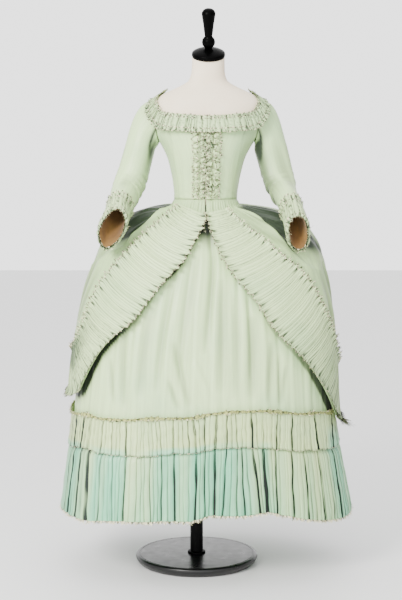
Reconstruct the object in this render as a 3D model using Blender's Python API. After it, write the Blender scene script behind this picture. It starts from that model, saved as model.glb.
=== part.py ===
"""A robe à la circassienne on a limbless dress form, with its pole and round foot.

The robe is a pale green silk gown of the 1770s: a close bodice with a ruched front and a square neck,
elbow sleeves with frilled cuffs, an overskirt drawn up in swags and edged with a wide pleated furbelow,
and a petticoat with a deep two-tier flounce. It stands over wide hips, as hip pads hold it.

Frame: metres, +Z up, the origin at the centre of the foot's underside, the wearer facing -Y.
Turns go round the figure in degrees: 0 at the front centre, 90 at +X, 180 at the back, -90 at -X.
Each cloth piece is a thin wall laid on a smooth surface: the torso, the skirt or a sleeve. Its outer
and inner points are the surface's points moved out along the surface's normal.
"""

import math
from collections import namedtuple

import bmesh
import bpy
import numpy as np

# Stand and neck cap
FOOT_RADIUS = 0.205
FOOT_THICKNESS = 0.030
POLE_RADIUS = 0.0215
CAP_RADIUS = 0.054
CAP_TILT = math.radians(24.0)
TURNED_SIDES = 24

# The figure's axis, to the viewer's right of the pole, and its lean above the waist
AXIS_OUT = 0.030
WAIST_HEIGHT = 1.222
LEAN = 0.020

# Cloth
CLOTH = 0.0015
PLEATED_CLOTH = 0.0020
LAP_GAP = 0.0006
SEAM_GAP = 0.0004
BODICE_LIFT = 0.0009
FORM_EASE = 0.0014
TORSO_ROUNDNESS = 2.2
SKIRT_ROUNDNESS = 2.25
FRONT_FALL = 1.4

# Heights of the petticoat's flounce
HEM_LEVEL = 13.0
HEADING_HEIGHT = 0.553
TIER_HEIGHT = 0.440

BodySection = namedtuple("BodySection", "height half_width front back")
BODY = [
    BodySection(0.930, 0.1500, 0.105, 0.115),
    BodySection(1.000, 0.1550, 0.102, 0.120),
    BodySection(1.080, 0.1400, 0.095, 0.110),
    BodySection(1.150, 0.1140, 0.086, 0.090),
    BodySection(1.195, 0.1025, 0.082, 0.081),
    BodySection(1.226, 0.1015, 0.082, 0.080),
    BodySection(1.280, 0.1070, 0.090, 0.084),
    BodySection(1.325, 0.1165, 0.103, 0.090),
    BodySection(1.360, 0.1265, 0.114, 0.096),
    BodySection(1.395, 0.1435, 0.120, 0.101),
    BodySection(1.427, 0.1620, 0.121, 0.104),
    BodySection(1.460, 0.1740, 0.116, 0.105),
    BodySection(1.500, 0.1830, 0.104, 0.103),
    BodySection(1.530, 0.1830, 0.088, 0.097),
    BodySection(1.560, 0.1580, 0.070, 0.086),
    BodySection(1.578, 0.1230, 0.058, 0.076),
    BodySection(1.592, 0.0930, 0.051, 0.066),
    BodySection(1.611, 0.0640, 0.047, 0.056),
    BodySection(1.640, 0.0560, 0.046, 0.051),
    BodySection(1.700, 0.0540, 0.046, 0.049),
]

# The skirt's rings from the waist down to the hem, each with its reach and height
# at the side, at the front and at the back, and its shift towards +X
SkirtRing = namedtuple("SkirtRing", "side side_height front front_height back back_height sway")
SKIRT = [
    SkirtRing(0.104, 1.222, 0.086, 1.222, 0.084, 1.222, 0.000),
    SkirtRing(0.112, 1.204, 0.096, 1.195, 0.100, 1.207, 0.000),
    SkirtRing(0.165, 1.198, 0.125, 1.150, 0.155, 1.202, 0.004),
    SkirtRing(0.235, 1.182, 0.155, 1.095, 0.215, 1.185, 0.008),
    SkirtRing(0.305, 1.142, 0.185, 1.035, 0.265, 1.135, 0.012),
    SkirtRing(0.352, 1.082, 0.212, 0.965, 0.300, 1.060, 0.008),
    SkirtRing(0.385, 1.000, 0.235, 0.890, 0.325, 0.970, 0.002),
    SkirtRing(0.410, 0.900, 0.255, 0.815, 0.340, 0.870, -0.003),
    SkirtRing(0.427, 0.790, 0.272, 0.735, 0.350, 0.770, -0.007),
    SkirtRing(0.436, 0.680, 0.288, 0.650, 0.357, 0.670, -0.011),
    SkirtRing(0.445, 0.560, 0.302, 0.550, 0.364, 0.560, -0.014),
    SkirtRing(0.456, 0.460, 0.310, 0.460, 0.370, 0.460, -0.014),
    SkirtRing(0.476, 0.335, 0.322, 0.335, 0.384, 0.335, -0.012),
    SkirtRing(0.496, 0.210, 0.334, 0.210, 0.398, 0.210, -0.010),
]

# Stations along the overskirt's edge. The furbelow's pleats run from the edge, at one turn and height,
# to the furbelow's top line, at another. The left side's turns are counted the other way round.
EdgeStation = namedtuple("EdgeStation", "turn height heading_turn heading_height")
EDGE_RIGHT = [
    EdgeStation(0.8, 1.178, 30.0, 1.190),
    EdgeStation(3.0, 1.120, 31.5, 1.146),
    EdgeStation(6.5, 1.046, 35.5, 1.102),
    EdgeStation(12.5, 0.980, 40.0, 1.046),
    EdgeStation(22.2, 0.904, 49.0, 0.998),
    EdgeStation(28.2, 0.833, 55.5, 0.950),
    EdgeStation(34.0, 0.787, 60.0, 0.900),
    EdgeStation(45.0, 0.721, 68.0, 0.818),
    EdgeStation(55.0, 0.655, 76.0, 0.750),
    EdgeStation(67.0, 0.572, 86.0, 0.695),
    EdgeStation(77.0, 0.503, 96.0, 0.662),
    EdgeStation(90.0, 0.486, 105.0, 0.650),
    EdgeStation(105.0, 0.510, 112.0, 0.668),
]
EDGE_LEFT = [
    EdgeStation(0.8, 1.174, 46.0, 1.204),
    EdgeStation(4.5, 1.135, 47.0, 1.184),
    EdgeStation(9.0, 1.093, 46.0, 1.150),
    EdgeStation(14.0, 1.027, 46.5, 1.104),
    EdgeStation(20.8, 0.968, 49.5, 1.052),
    EdgeStation(26.0, 0.908, 54.0, 0.995),
    EdgeStation(32.0, 0.842, 59.5, 0.930),
    EdgeStation(39.5, 0.798, 63.0, 0.868),
    EdgeStation(48.0, 0.742, 67.0, 0.808),
    EdgeStation(57.0, 0.660, 74.0, 0.752),
    EdgeStation(64.0, 0.602, 83.0, 0.728),
    EdgeStation(80.0, 0.585, 97.0, 0.728),
    EdgeStation(105.0, 0.600, 112.0, 0.750),
]
EDGE_BACK = [
    EdgeStation(105.0, 0.510, 112.0, 0.668),
    EdgeStation(128.0, 0.500, 131.0, 0.660),
    EdgeStation(146.0, 0.600, 147.0, 0.745),
    EdgeStation(155.0, 0.680, 155.0, 0.815),
    EdgeStation(164.0, 0.600, 163.5, 0.750),
    EdgeStation(180.0, 0.555, 180.0, 0.715),
    EdgeStation(196.0, 0.600, 196.5, 0.750),
    EdgeStation(205.0, 0.690, 205.0, 0.820),
    EdgeStation(214.0, 0.620, 213.0, 0.765),
    EdgeStation(232.0, 0.560, 229.0, 0.715),
    EdgeStation(255.0, 0.600, 248.0, 0.750),
]
FRONT_OPENING_TURN = 0.8
BACK_PANEL_TURN = 105.0
OVERSKIRT_ROWS = [0.0, 0.07, 0.15, 0.25, 0.37, 0.50, 0.64, 0.77, 0.89, 1.0]

# How far the drawn-up overskirt puffs out over the edge, round the figure
Puff = namedtuple("Puff", "turn reach")
PUFFS = [
    Puff(-160.0, 0.010), Puff(-128.0, 0.034), Puff(-95.0, 0.006), Puff(-60.0, 0.003), Puff(-25.0, 0.0),
    Puff(25.0, 0.0), Puff(60.0, 0.003), Puff(95.0, 0.006), Puff(128.0, 0.034),
    Puff(155.0, 0.010), Puff(180.0, 0.040), Puff(205.0, 0.010), Puff(232.0, 0.034), Puff(265.0, 0.006),
]

# The armhole is an oval on the torso's side
ARMHOLE_TURN = 92.0
ARMHOLE_HEIGHT = 1.476
ARMHOLE_HALF_TURN = 22.6
ARMHOLE_HALF_HEIGHT = 0.0655

# Half of the bodice, front and back, in rows from the waist up: each row runs from the neck side
# of the shoulder strap to the side seam or the armhole
SIDE_SEAM = 94.5
SHOULDER_SEAM = 90.0
SEAM_TURN = 0.1
BODICE_FOOT = WAIST_HEIGHT + 0.0008
PanelRow = namedtuple("PanelRow", "inner_turn inner_height outer_turn outer_height")
FRONT_PANEL = [
    PanelRow(50.0, BODICE_FOOT, SIDE_SEAM, BODICE_FOOT),
    PanelRow(50.0, 1.290, SIDE_SEAM, 1.285),
    PanelRow(50.0, 1.350, SIDE_SEAM, 1.345),
    PanelRow(51.0, 1.400, SIDE_SEAM - 1.0, 1.388),
    PanelRow(52.0, 1.445, 89.0, 1.416),
    PanelRow(53.0, 1.480, 78.0, 1.431),
    PanelRow(54.0, 1.505, 71.3, 1.465),
    PanelRow(60.0, 1.530, 73.0, 1.502),
    PanelRow(72.0, 1.552, 80.6, 1.527),
    PanelRow(SHOULDER_SEAM - SEAM_TURN, 1.566, SHOULDER_SEAM - SEAM_TURN, 1.537),
]
FRONT_CENTRE = [BODICE_FOOT, 1.270, 1.320, 1.365, 1.410, 1.450, 1.490]
BACK_PANEL = [
    PanelRow(130.0, BODICE_FOOT, SIDE_SEAM + 2 * SEAM_TURN, BODICE_FOOT),
    PanelRow(129.0, 1.290, SIDE_SEAM + 2 * SEAM_TURN, 1.285),
    PanelRow(128.0, 1.350, SIDE_SEAM + 2 * SEAM_TURN, 1.345),
    PanelRow(126.0, 1.410, SIDE_SEAM + 2 * SEAM_TURN, 1.388),
    PanelRow(124.0, 1.465, 96.0, 1.416),
    PanelRow(121.0, 1.515, 106.0, 1.431),
    PanelRow(120.0, 1.536, 109.5, 1.448),
    PanelRow(119.0, 1.553, 112.7, 1.465),
    PanelRow(113.0, 1.558, 111.0, 1.502),
    PanelRow(104.0, 1.563, 103.4, 1.527),
    PanelRow(SHOULDER_SEAM + SEAM_TURN, 1.567, SHOULDER_SEAM + SEAM_TURN, 1.537),
]
BACK_CENTRE = [BODICE_FOOT, 1.290, 1.355, 1.420, 1.470, 1.510, 1.530, 1.545]
CENTRE_COLUMNS = 5
PANEL_COLUMNS = 6

# The neck frill: where it is sewn on, and how far its free edge stands out and hangs down from there
FrillStation = namedtuple("FrillStation", "turn height spread drop")
FRILL = [
    FrillStation(0.0, 1.492, 0.022, 0.060),
    FrillStation(25.0, 1.497, 0.022, 0.060),
    FrillStation(50.0, 1.507, 0.028, 0.058),
    FrillStation(62.0, 1.534, 0.045, 0.046),
    FrillStation(75.0, 1.555, 0.057, 0.034),
    FrillStation(90.0, 1.567, 0.062, 0.026),
    FrillStation(105.0, 1.563, 0.059, 0.028),
    FrillStation(120.0, 1.555, 0.042, 0.042),
    FrillStation(150.0, 1.548, 0.027, 0.058),
    FrillStation(180.0, 1.545, 0.025, 0.060),
]
FRILL_PLEATS = 10
FrillLine = namedtuple("FrillLine", "travel rise")
FRILL_LINES = [FrillLine(0.0, 0.0012), FrillLine(0.5, 0.0050), FrillLine(1.0, 0.0060)]

# The ruched strips beside the front opening
RUCHE_TURN = 23.0
RUCHE_TOP = 1.428
RUCHE_ROWS = 15
RUCHE_PUFF = 0.0055

# A sleeve's centre line below the armhole: how far out from the figure's axis, how far back, how high,
# and its radius. The left sleeve hangs wider by the splay and higher by the sag, the right one closer
# and lower.
SleeveRing = namedtuple("SleeveRing", "out back height radius splay sag")
SLEEVE = [
    SleeveRing(0.213, 0.000, 1.395, 0.0505, 0.007, 0.000),
    SleeveRing(0.227, -0.002, 1.345, 0.0500, 0.009, 0.000),
    SleeveRing(0.241, -0.010, 1.297, 0.0500, 0.011, 0.000),
    SleeveRing(0.257, -0.034, 1.254, 0.0490, 0.010, 0.000),
    SleeveRing(0.273, -0.085, 1.217, 0.0480, 0.007, 0.001),
    SleeveRing(0.287, -0.136, 1.176, 0.0475, 0.005, 0.004),
    SleeveRing(0.298, -0.172, 1.134, 0.0480, 0.005, 0.008),
    SleeveRing(0.304, -0.192, 1.110, 0.0490, 0.005, 0.010),
]
SLEEVE_SIDES = 16
SLEEVE_TRAVELS = [0.0, 0.3, 0.65, 1.0, 2.0, 3.0, 4.0, 5.0, 6.0, 7.0]
SLEEVE_WRINKLE = 0.0025
SLEEVE_SQUEEZE_LEFT = 0.20
SLEEVE_SQUEEZE_RIGHT = 0.36
CuffLine = namedtuple("CuffLine", "travel lift")
CUFF_LINES = [CuffLine(5.60, 0.0030), CuffLine(6.55, 0.0045), CuffLine(7.50, 0.0080)]
CUFF_SLANT = 0.030
CUFF_PLEATS = 12
CUFF_PLEAT_DEPTH = 0.0045
LINING_TRAVELS = [5.0, 6.0, 7.0]
LINING_INSET = 0.0030

# Pleats: counts, how deep they are, and the share of its width where a pleat folds
PLEAT_FOLD = 0.2
FLOUNCE_PLEATS = 30
FLOUNCE_DEPTH = 0.008
FLOUNCE_LIFT = -0.0166
FURBELOW_PLEATS = 34
FURBELOW_BACK_PLEATS = 28
HEADING_RIPPLES = 18
FORM_SIDES = 24

# The furbelow from its lower edge to its top line: how far it lies off the overskirt, and its pleats' depth
FurbelowLine = namedtuple("FurbelowLine", "across seat depth")
FURBELOW_LINES = [
    FurbelowLine(0.0, 0.0016, 0.0054),
    FurbelowLine(1 / 3, 0.0040, 0.0060),
    FurbelowLine(2 / 3, 0.0040, 0.0060),
    FurbelowLine(1.0, 0.0022, 0.0048),
]

# The petticoat's rows from its top to its foot, how far it lies inside the skirt's surface,
# and how deep its soft folds are
PETTICOAT_TOP_LEVEL = 0.7
PETTICOAT_FOOT = 0.50
PETTICOAT_ROWS = [0.0, 0.07, 0.17, 0.31, 0.48, 0.66, 0.85, 1.0]
SkirtDepth = namedtuple("SkirtDepth", "level depth")
PETTICOAT_INSETS = [
    SkirtDepth(0.7, 0.0026), SkirtDepth(1.4, 0.0060), SkirtDepth(2.2, 0.0100),
    SkirtDepth(4.0, 0.0150), SkirtDepth(7.0, 0.0180), SkirtDepth(9.0, 0.0190),
]
PETTICOAT_FOLDS = [SkirtDepth(1.5, 0.0), SkirtDepth(6.0, 0.006), SkirtDepth(9.4, 0.0), SkirtDepth(11.0, 0.0)]

Finish = namedtuple("Finish", "name colour roughness metallic")
PALE_SILK = Finish("pale_silk", (0.66, 0.74, 0.58), 0.45, 0.0)
TURQUOISE_SILK = Finish("turquoise_silk", (0.42, 0.66, 0.54), 0.45, 0.0)
TRIM_SILK = Finish("trim_silk", (0.60, 0.62, 0.42), 0.55, 0.0)
BROWN_LINING = Finish("brown_lining", (0.30, 0.13, 0.04), 0.70, 0.0)
FORM_COVER = Finish("cream_form_cover", (0.78, 0.70, 0.58), 0.75, 0.0)
BLACK_WOOD = Finish("black_turned_wood", (0.01, 0.01, 0.01), 0.20, 0.0)
BLACK_METAL = Finish("black_metal", (0.012, 0.012, 0.014), 0.35, 0.0)

# The flounce's tiers: heights, the pleats' depths there as shares of the flounce's own, and the lift
Tier = namedtuple("Tier", "prefix finish top foot top_depth foot_depth lift")
TIERS = [
    Tier("flounce_upper_", PALE_SILK, HEADING_HEIGHT, TIER_HEIGHT - 0.004, 0.6, 1.0, FLOUNCE_LIFT),
    Tier("flounce_lower_", TURQUOISE_SILK, TIER_HEIGHT + 0.015, SKIRT[-1].front_height, 0.9, 1.15,
         FLOUNCE_LIFT - PLEATED_CLOTH - 0.0012),
]
# The heading's lines across it: height over its seam, lift off the skirt's surface, and its ripples' height
HeadingLine = namedtuple("HeadingLine", "rise lift swell")
HEADING_LINES = [
    HeadingLine(0.015, -0.0146, 0.0),
    HeadingLine(0.003, -0.0042, 0.0014),
    HeadingLine(-0.015, -0.0040, 0.0010),
]


def smooth_table(x, rows, knots=None):
    """Monotone cubic curves through a table's rows, one for each column, read at x.

    Each knot's slope is the weighted harmonic mean of the slopes beside it, so the curve never
    overshoots its rows. Past the ends the table's first and last rows hold.
    """
    values = np.asarray(rows, float)
    knots = np.arange(len(values), dtype=float) if knots is None else np.asarray(knots, float)
    span = np.diff(knots)
    slope = np.diff(values, axis=0) / span[:, None]
    before, after = slope[:-1], slope[1:]
    weight_before = (2 * span[1:] + span[:-1])[:, None]
    weight_after = (span[1:] + 2 * span[:-1])[:, None]
    same_way = before * after > 0
    safe_before = np.where(same_way, before, 1.0)
    safe_after = np.where(same_way, after, 1.0)
    mean = (weight_before + weight_after) / (weight_before / safe_before + weight_after / safe_after)
    tangent = np.concatenate([slope[:1], np.where(same_way, mean, 0.0), slope[-1:]])
    x = np.clip(np.asarray(x, float), knots[0], knots[-1])
    cell = np.clip(np.searchsorted(knots, x, side="right") - 1, 0, len(knots) - 2)
    width = span[cell][..., None]
    share = (x - knots[cell])[..., None] / width
    start_weight = 2 * share**3 - 3 * share**2 + 1
    return (
        start_weight * values[cell]
        + (share**3 - 2 * share**2 + share) * width * tangent[cell]
        + (1 - start_weight) * values[cell + 1]
        + (share**3 - share**2) * width * tangent[cell + 1]
    )


def table_column(x, table, key, *columns):
    """Named columns of a table of named rows, read smoothly at x along its key column."""
    rows = [[getattr(row, column) for column in columns] for row in table]
    return np.moveaxis(smooth_table(x, rows, [getattr(row, key) for row in table]), -1, 0)


def signed_power(base, exponent):
    return np.sign(base) * np.abs(base) ** exponent


def axis_out(height):
    """The figure's axis in x, leaning above the waist."""
    return AXIS_OUT + LEAN * np.maximum(np.asarray(height, float) - WAIST_HEIGHT, 0.0)


def torso_place(turn, height):
    """The torso's skin: a rounded oval at each height."""
    half_width, front, back = table_column(height, BODY, "height", "half_width", "front", "back")
    angle = np.radians(turn)
    along = signed_power(np.cos(angle), 2 / TORSO_ROUNDNESS)
    x = axis_out(height) + half_width * signed_power(np.sin(angle), 2 / TORSO_ROUNDNESS)
    y = -np.where(along >= 0, front, back) * along
    return np.stack(np.broadcast_arrays(x, y, height), axis=-1)


def skirt_place(turn, level):
    """The skirt's outer surface over the hips: level 0 is its waist and the last level is its hem.

    A ring is a rounded oval whose height goes from the side's to the back's with the cosine squared of
    the turn, and falls away faster towards the front.
    """
    ring = SkirtRing(*np.moveaxis(smooth_table(level, SKIRT), -1, 0))
    angle = np.radians(turn)
    ahead = np.cos(angle) >= 0
    share = np.abs(np.cos(angle)) ** np.where(ahead, FRONT_FALL, 2.0)
    x = AXIS_OUT + ring.sway + ring.side * signed_power(np.sin(angle), 2 / SKIRT_ROUNDNESS)
    y = -np.where(ahead, ring.front, ring.back) * signed_power(np.cos(angle), 2 / SKIRT_ROUNDNESS)
    end_height = np.where(ahead, ring.front_height, ring.back_height)
    z = ring.side_height * (1 - share) + end_height * share
    return np.stack(np.broadcast_arrays(x, y, z), axis=-1)


class Surface:
    """A surface of two coordinates. Its steps are signed so that its normal points outwards."""

    def __init__(self, place, turn_step, travel_step):
        self.place = place
        self.turn_step = turn_step
        self.travel_step = travel_step

    def lifted(self, turn, travel, lift=0.0):
        """Points of the surface moved out along its normal by lift."""
        turn, travel, lift = np.broadcast_arrays(
            np.asarray(turn, float), np.asarray(travel, float), np.asarray(lift, float)
        )
        round_it = self.place(turn + self.turn_step, travel) - self.place(turn - self.turn_step, travel)
        along_it = self.place(turn, travel + self.travel_step) - self.place(turn, travel - self.travel_step)
        normal = np.cross(round_it, along_it)
        normal /= np.linalg.norm(normal, axis=-1, keepdims=True)
        return self.place(turn, travel) + normal * lift[..., None]


TORSO = Surface(torso_place, 0.5, 0.002)
SKIRT_SURFACE = Surface(skirt_place, 0.5, -0.03)


def skirt_level(turn, height):
    """The skirt's level that has this height at this turn."""
    levels = np.linspace(0.0, HEM_LEVEL, 521)
    turn, height = np.broadcast_arrays(np.asarray(turn, float), np.asarray(height, float))
    found = np.empty(turn.shape)
    for index in np.ndindex(turn.shape):
        heights = skirt_place(turn[index], levels)[:, 2]
        found[index] = np.interp(-height[index], -heights, levels)
    return found


def edge_height(turn):
    """The height of the overskirt's edge at a turn."""
    turn = np.asarray(turn, float)
    round_right = np.where(turn < 0, turn + 360.0, turn)
    right = table_column(round_right, EDGE_RIGHT, "turn", "height")[0]
    left = table_column(np.where(turn < 0, -turn, 360.0 - turn), EDGE_LEFT, "turn", "height")[0]
    back = table_column(round_right, EDGE_BACK, "turn", "height")[0]
    beside = np.where(round_right >= 360.0 - BACK_PANEL_TURN, left, back)
    return np.where(round_right <= BACK_PANEL_TURN, right, beside)


def puff_lift(turn, level):
    """How far the drawn-up overskirt stands out, from nothing at the waist to a puff above its edge."""
    signed = (np.asarray(turn, float) + 150.0) % 360.0 - 150.0
    reach = table_column(signed, PUFFS, "turn", "reach")[0]
    share = level / skirt_level(turn, edge_height(turn))
    swell = smooth_table(share, [[0.0], [0.08], [0.7], [1.0], [0.7]], [0.0, 0.3, 0.6, 0.85, 1.0])[..., 0]
    return reach * swell


def even_turns(surface, travel, first, last, shares):
    """Turns between two turns that stand at the given shares of the way round, measured on the surface."""
    turns = np.linspace(first, last, 361)
    steps = np.linalg.norm(np.diff(surface.place(turns, np.full(361, travel)), axis=0), axis=1)
    way = np.concatenate([[0.0], np.cumsum(steps)])
    return np.interp(np.asarray(shares) * way[-1], way, turns)


def pleats(count, seed):
    """Places along a strip from 0 to 1, and how far the cloth stands up there from 0 to 1.

    Each is a knife pleat: a steep fold up out of the furrow, then a long slope down to the next one.
    Widths and depths vary a little.
    """
    random = np.random.default_rng(seed)
    widths = random.uniform(0.75, 1.25, count)
    widths /= widths.sum()
    starts = np.cumsum(widths) - widths
    places = starts[:, None] + widths[:, None] * np.array([0.0, PLEAT_FOLD])
    rises = random.uniform(0.7, 1.0, count)[:, None] * np.array([0.0, 1.0])
    return np.append(places.ravel(), 1.0), np.append(rises.ravel(), 0.0)


def make_material(finish):
    material = bpy.data.materials.get(finish.name) or bpy.data.materials.new(finish.name)
    material.use_nodes = True
    shader = material.node_tree.nodes["Principled BSDF"]
    shader.inputs["Base Color"].default_value = (*finish.colour, 1.0)
    shader.inputs["Roughness"].default_value = finish.roughness
    shader.inputs["Metallic"].default_value = finish.metallic
    material.diffuse_color = (*finish.colour, 1.0)
    return material


def add_object(name, mesh, finish, smooth_angle=40.0):
    mesh.materials.append(make_material(finish))
    mesh.shade_smooth()
    mesh.set_sharp_from_angle(angle=math.radians(smooth_angle))
    piece = bpy.data.objects.new(name, mesh)
    bpy.context.scene.collection.objects.link(piece)
    return piece


def add_wall(name, outer, inner, finish, kept=None, closed=False):
    """A closed wall between two like grids of points, with a rim along every open edge.

    kept marks the grid's cells that have cloth. closed joins the last column to the first.
    """
    rows, columns = outer.shape[:2]
    number = np.arange(rows * columns).reshape(rows, columns)
    if closed:
        number = np.concatenate([number, number[:, :1]], axis=1)
    corners = np.stack([number[:-1, :-1], number[:-1, 1:], number[1:, 1:], number[1:, :-1]], axis=-1)
    cells = corners.reshape(-1, 4) if kept is None else corners[kept]
    skin = np.concatenate([cells[:, [0, 3, 2]], cells[:, [0, 2, 1]]])
    outside = outer.reshape(-1, 3)
    inside = inner.reshape(-1, 3)
    a, b, c = (outside[skin[:, corner]] for corner in range(3))
    outwards = (outside - inside)[skin].mean(axis=1)
    if np.einsum("ij,ij->", np.cross(b - a, c - a), outwards) < 0:
        skin = skin[:, ::-1]
    shift = len(outside)
    edges = {(int(t[k]), int(t[(k + 1) % 3])) for t in skin for k in range(3)}
    faces = [tuple(map(int, t)) for t in skin]
    faces += [tuple(int(v) + shift for v in t[::-1]) for t in skin]
    for start, end in sorted(edges):
        if (end, start) not in edges:
            faces.append((end, start, start + shift))
            faces.append((end, start + shift, end + shift))
    used = sorted({vertex for face in faces for vertex in face})
    renumber = {old: new for new, old in enumerate(used)}
    points = np.concatenate([outside, inside])[used]
    mesh = bpy.data.meshes.new(name)
    mesh.from_pydata(points.tolist(), [], [[renumber[v] for v in face] for face in faces])
    return add_object(name, mesh, finish)


def add_turned(name, profile, finish, sides=TURNED_SIDES):
    """A turned piece: a profile of (radius, height) points from the axis to the axis, spun round +Z."""
    shape = bmesh.new()
    points = [shape.verts.new((radius, 0.0, height)) for radius, height in profile]
    edges = [shape.edges.new(pair) for pair in zip(points, points[1:])]
    bmesh.ops.spin(
        shape, geom=points + edges, cent=(0, 0, 0), axis=(0, 0, 1), dvec=(0, 0, 0),
        angle=math.tau, steps=sides, use_merge=True, use_duplicate=False,
    )
    bmesh.ops.remove_doubles(shape, verts=shape.verts, dist=1e-5)
    bmesh.ops.recalc_face_normals(shape, faces=shape.faces)
    mesh = bpy.data.meshes.new(name)
    shape.to_mesh(mesh)
    shape.free()
    return add_object(name, mesh, finish, 30.0)


def build_stand():
    """The round foot, turned in below its top edge, and the pole up to the form's underside."""
    top = FOOT_THICKNESS
    add_turned(
        "stand_foot",
        [(0.0, 0.0), (FOOT_RADIUS - 0.017, 0.0), (FOOT_RADIUS - 0.005, 0.010), (FOOT_RADIUS, 0.020),
         (FOOT_RADIUS - 0.002, top - 0.003), (FOOT_RADIUS - 0.006, top), (0.0, top)],
        BLACK_METAL, sides=32,
    )
    pole = [(0.0, top + 0.0003), (POLE_RADIUS, top + 0.0003), (POLE_RADIUS, BODY[0].height - 0.0003),
            (0.0, BODY[0].height - 0.0003)]
    add_turned("stand_pole", pole, BLACK_METAL, sides=20)


FORM_HEIGHTS = [
    0.930, 1.030, 1.110, 1.170, 1.226, 1.255, 1.285, 1.315, 1.345, 1.375, 1.405, 1.435, 1.465,
    1.500, 1.530, 1.552, 1.572, 1.588, 1.604, 1.630,
]
NECK_TOP = 1.687


def build_form():
    """The cream torso, from the hips to a neck that is cut off on a slant for its cap."""
    turns = np.linspace(0.0, 360.0, FORM_SIDES, endpoint=False)
    rings = [TORSO.lifted(turns, height, -FORM_EASE) for height in FORM_HEIGHTS]
    neck = TORSO.lifted(turns, NECK_TOP, -FORM_EASE)
    neck[:, 2] += neck[:, 1] * math.tan(CAP_TILT)
    rings.append(neck)
    shape = bmesh.new()
    loops = [[shape.verts.new(point) for point in ring] for ring in rings]
    for lower, upper in zip(loops, loops[1:]):
        for side in range(FORM_SIDES):
            after = (side + 1) % FORM_SIDES
            shape.faces.new((lower[side], lower[after], upper[after], upper[side]))
    shape.faces.new(loops[0][::-1])
    shape.faces.new(loops[-1])
    mesh = bpy.data.meshes.new("dress_form")
    shape.to_mesh(mesh)
    shape.free()
    add_object("dress_form", mesh, FORM_COVER, 35.0)


def build_neck_cap():
    """The turned black cap on the slanted neck, and the ball and cone of its finial."""
    cap = add_turned(
        "neck_cap",
        [(0.0, 0.0), (CAP_RADIUS, 0.0), (CAP_RADIUS + 0.001, 0.006), (CAP_RADIUS, 0.013),
         (CAP_RADIUS - 0.006, 0.0165), (0.040, 0.0215), (0.028, 0.0260), (0.014, 0.0285), (0.0, 0.0285)],
        BLACK_WOOD,
    )
    finial = add_turned(
        "neck_finial",
        [(0.0, 0.0288), (0.012, 0.0288), (0.0135, 0.0330), (0.0200, 0.0400), (0.0217, 0.0490),
         (0.0200, 0.0580), (0.0140, 0.0660), (0.0125, 0.0700), (0.0135, 0.0750), (0.0170, 0.1050),
         (0.0215, 0.1350), (0.0225, 0.1440), (0.0190, 0.1530), (0.0110, 0.1590), (0.0, 0.1610)],
        BLACK_WOOD, sides=16,
    )
    for piece in (cap, finial):
        piece.location = (float(axis_out(NECK_TOP)), 0.0, NECK_TOP + 0.0004)
        piece.rotation_euler = (CAP_TILT, 0.0, 0.0)


def build_bodice_half(name, side, panel, centre_turn, centre_heights):
    """Half of the bodice's front or back, from the centre to the side seam, armhole and shoulder."""
    centre_rows = len(centre_heights)
    turns, heights = [], []
    for row, line in enumerate(panel):
        height = centre_heights[min(row, centre_rows - 1)]
        near = np.linspace(0.0, 1.0, CENTRE_COLUMNS)[:-1]
        far = np.linspace(0.0, 1.0, PANEL_COLUMNS)
        turns.append(np.concatenate([
            centre_turn + (line.inner_turn - centre_turn) * near,
            line.inner_turn + (line.outer_turn - line.inner_turn) * far,
        ]))
        heights.append(np.concatenate([
            height + (line.inner_height - height) * near,
            line.inner_height + (line.outer_height - line.inner_height) * far,
        ]))
    turns, heights = side * np.array(turns), np.array(heights)
    kept = np.ones((len(panel) - 1, turns.shape[1] - 1), bool)
    kept[centre_rows - 1:, :CENTRE_COLUMNS - 1] = False
    outer = TORSO.lifted(turns, heights, BODICE_LIFT + CLOTH)
    inner = TORSO.lifted(turns, heights, BODICE_LIFT)
    add_wall(name, outer, inner, PALE_SILK, kept)


def build_ruche(name, side):
    """A gathered strip beside the front opening: its middle stands up in uneven puffs."""
    base = BODICE_LIFT + CLOTH + 2 * LAP_GAP
    rows = np.arange(RUCHE_ROWS)
    heights = np.linspace(BODICE_FOOT + 0.001, RUCHE_TOP, RUCHE_ROWS)[:, None]
    shares = np.array([0.0, 0.3, 0.65, 1.0])[None, :]
    turns = side * (0.4 + (RUCHE_TURN - 0.4) * shares) + 0.0 * heights
    odd = rows % 2
    wave = np.stack([0.1 + 0.2 * odd, 0.35 + 0.65 * odd, 1.0 - 0.6 * odd, 0.1 + 0.1 * odd], axis=1)
    inner = TORSO.lifted(turns, heights, base + RUCHE_PUFF * wave)
    outer = TORSO.lifted(turns, heights, base + RUCHE_PUFF * wave + CLOTH)
    add_wall(name, outer, inner, PALE_SILK)


def frill_place(turn, travel):
    """The neck frill: from the neckline at travel 0 to its free edge at travel 1."""
    height, spread, drop = table_column(np.abs(turn), FRILL, "turn", "height", "spread", "drop")
    angle = np.radians(turn)
    sewn = TORSO.lifted(turn, height, BODICE_LIFT + CLOTH + 4 * LAP_GAP)
    fall = np.stack([spread * np.sin(angle), -spread * np.cos(angle), -drop], axis=-1)
    return sewn + fall * np.asarray(travel, float)[..., None]


def build_frill(name, side, seed):
    """Half of the pleated frill round the neckline, from the front centre to the back centre."""
    frill = Surface(frill_place, 0.5, -0.03)
    shares, rises = pleats(FRILL_PLEATS, seed)
    turns = side * even_turns(frill, 0.5, 0.6, 179.7, shares)[None, :]
    travels, depths = np.array(FRILL_LINES).T[..., None]
    wave = depths * rises[None, :]
    inner = frill.lifted(turns, travels, wave)
    outer = frill.lifted(turns, travels, wave + PLEATED_CLOTH)
    add_wall(name, outer, inner, TRIM_SILK)


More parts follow.
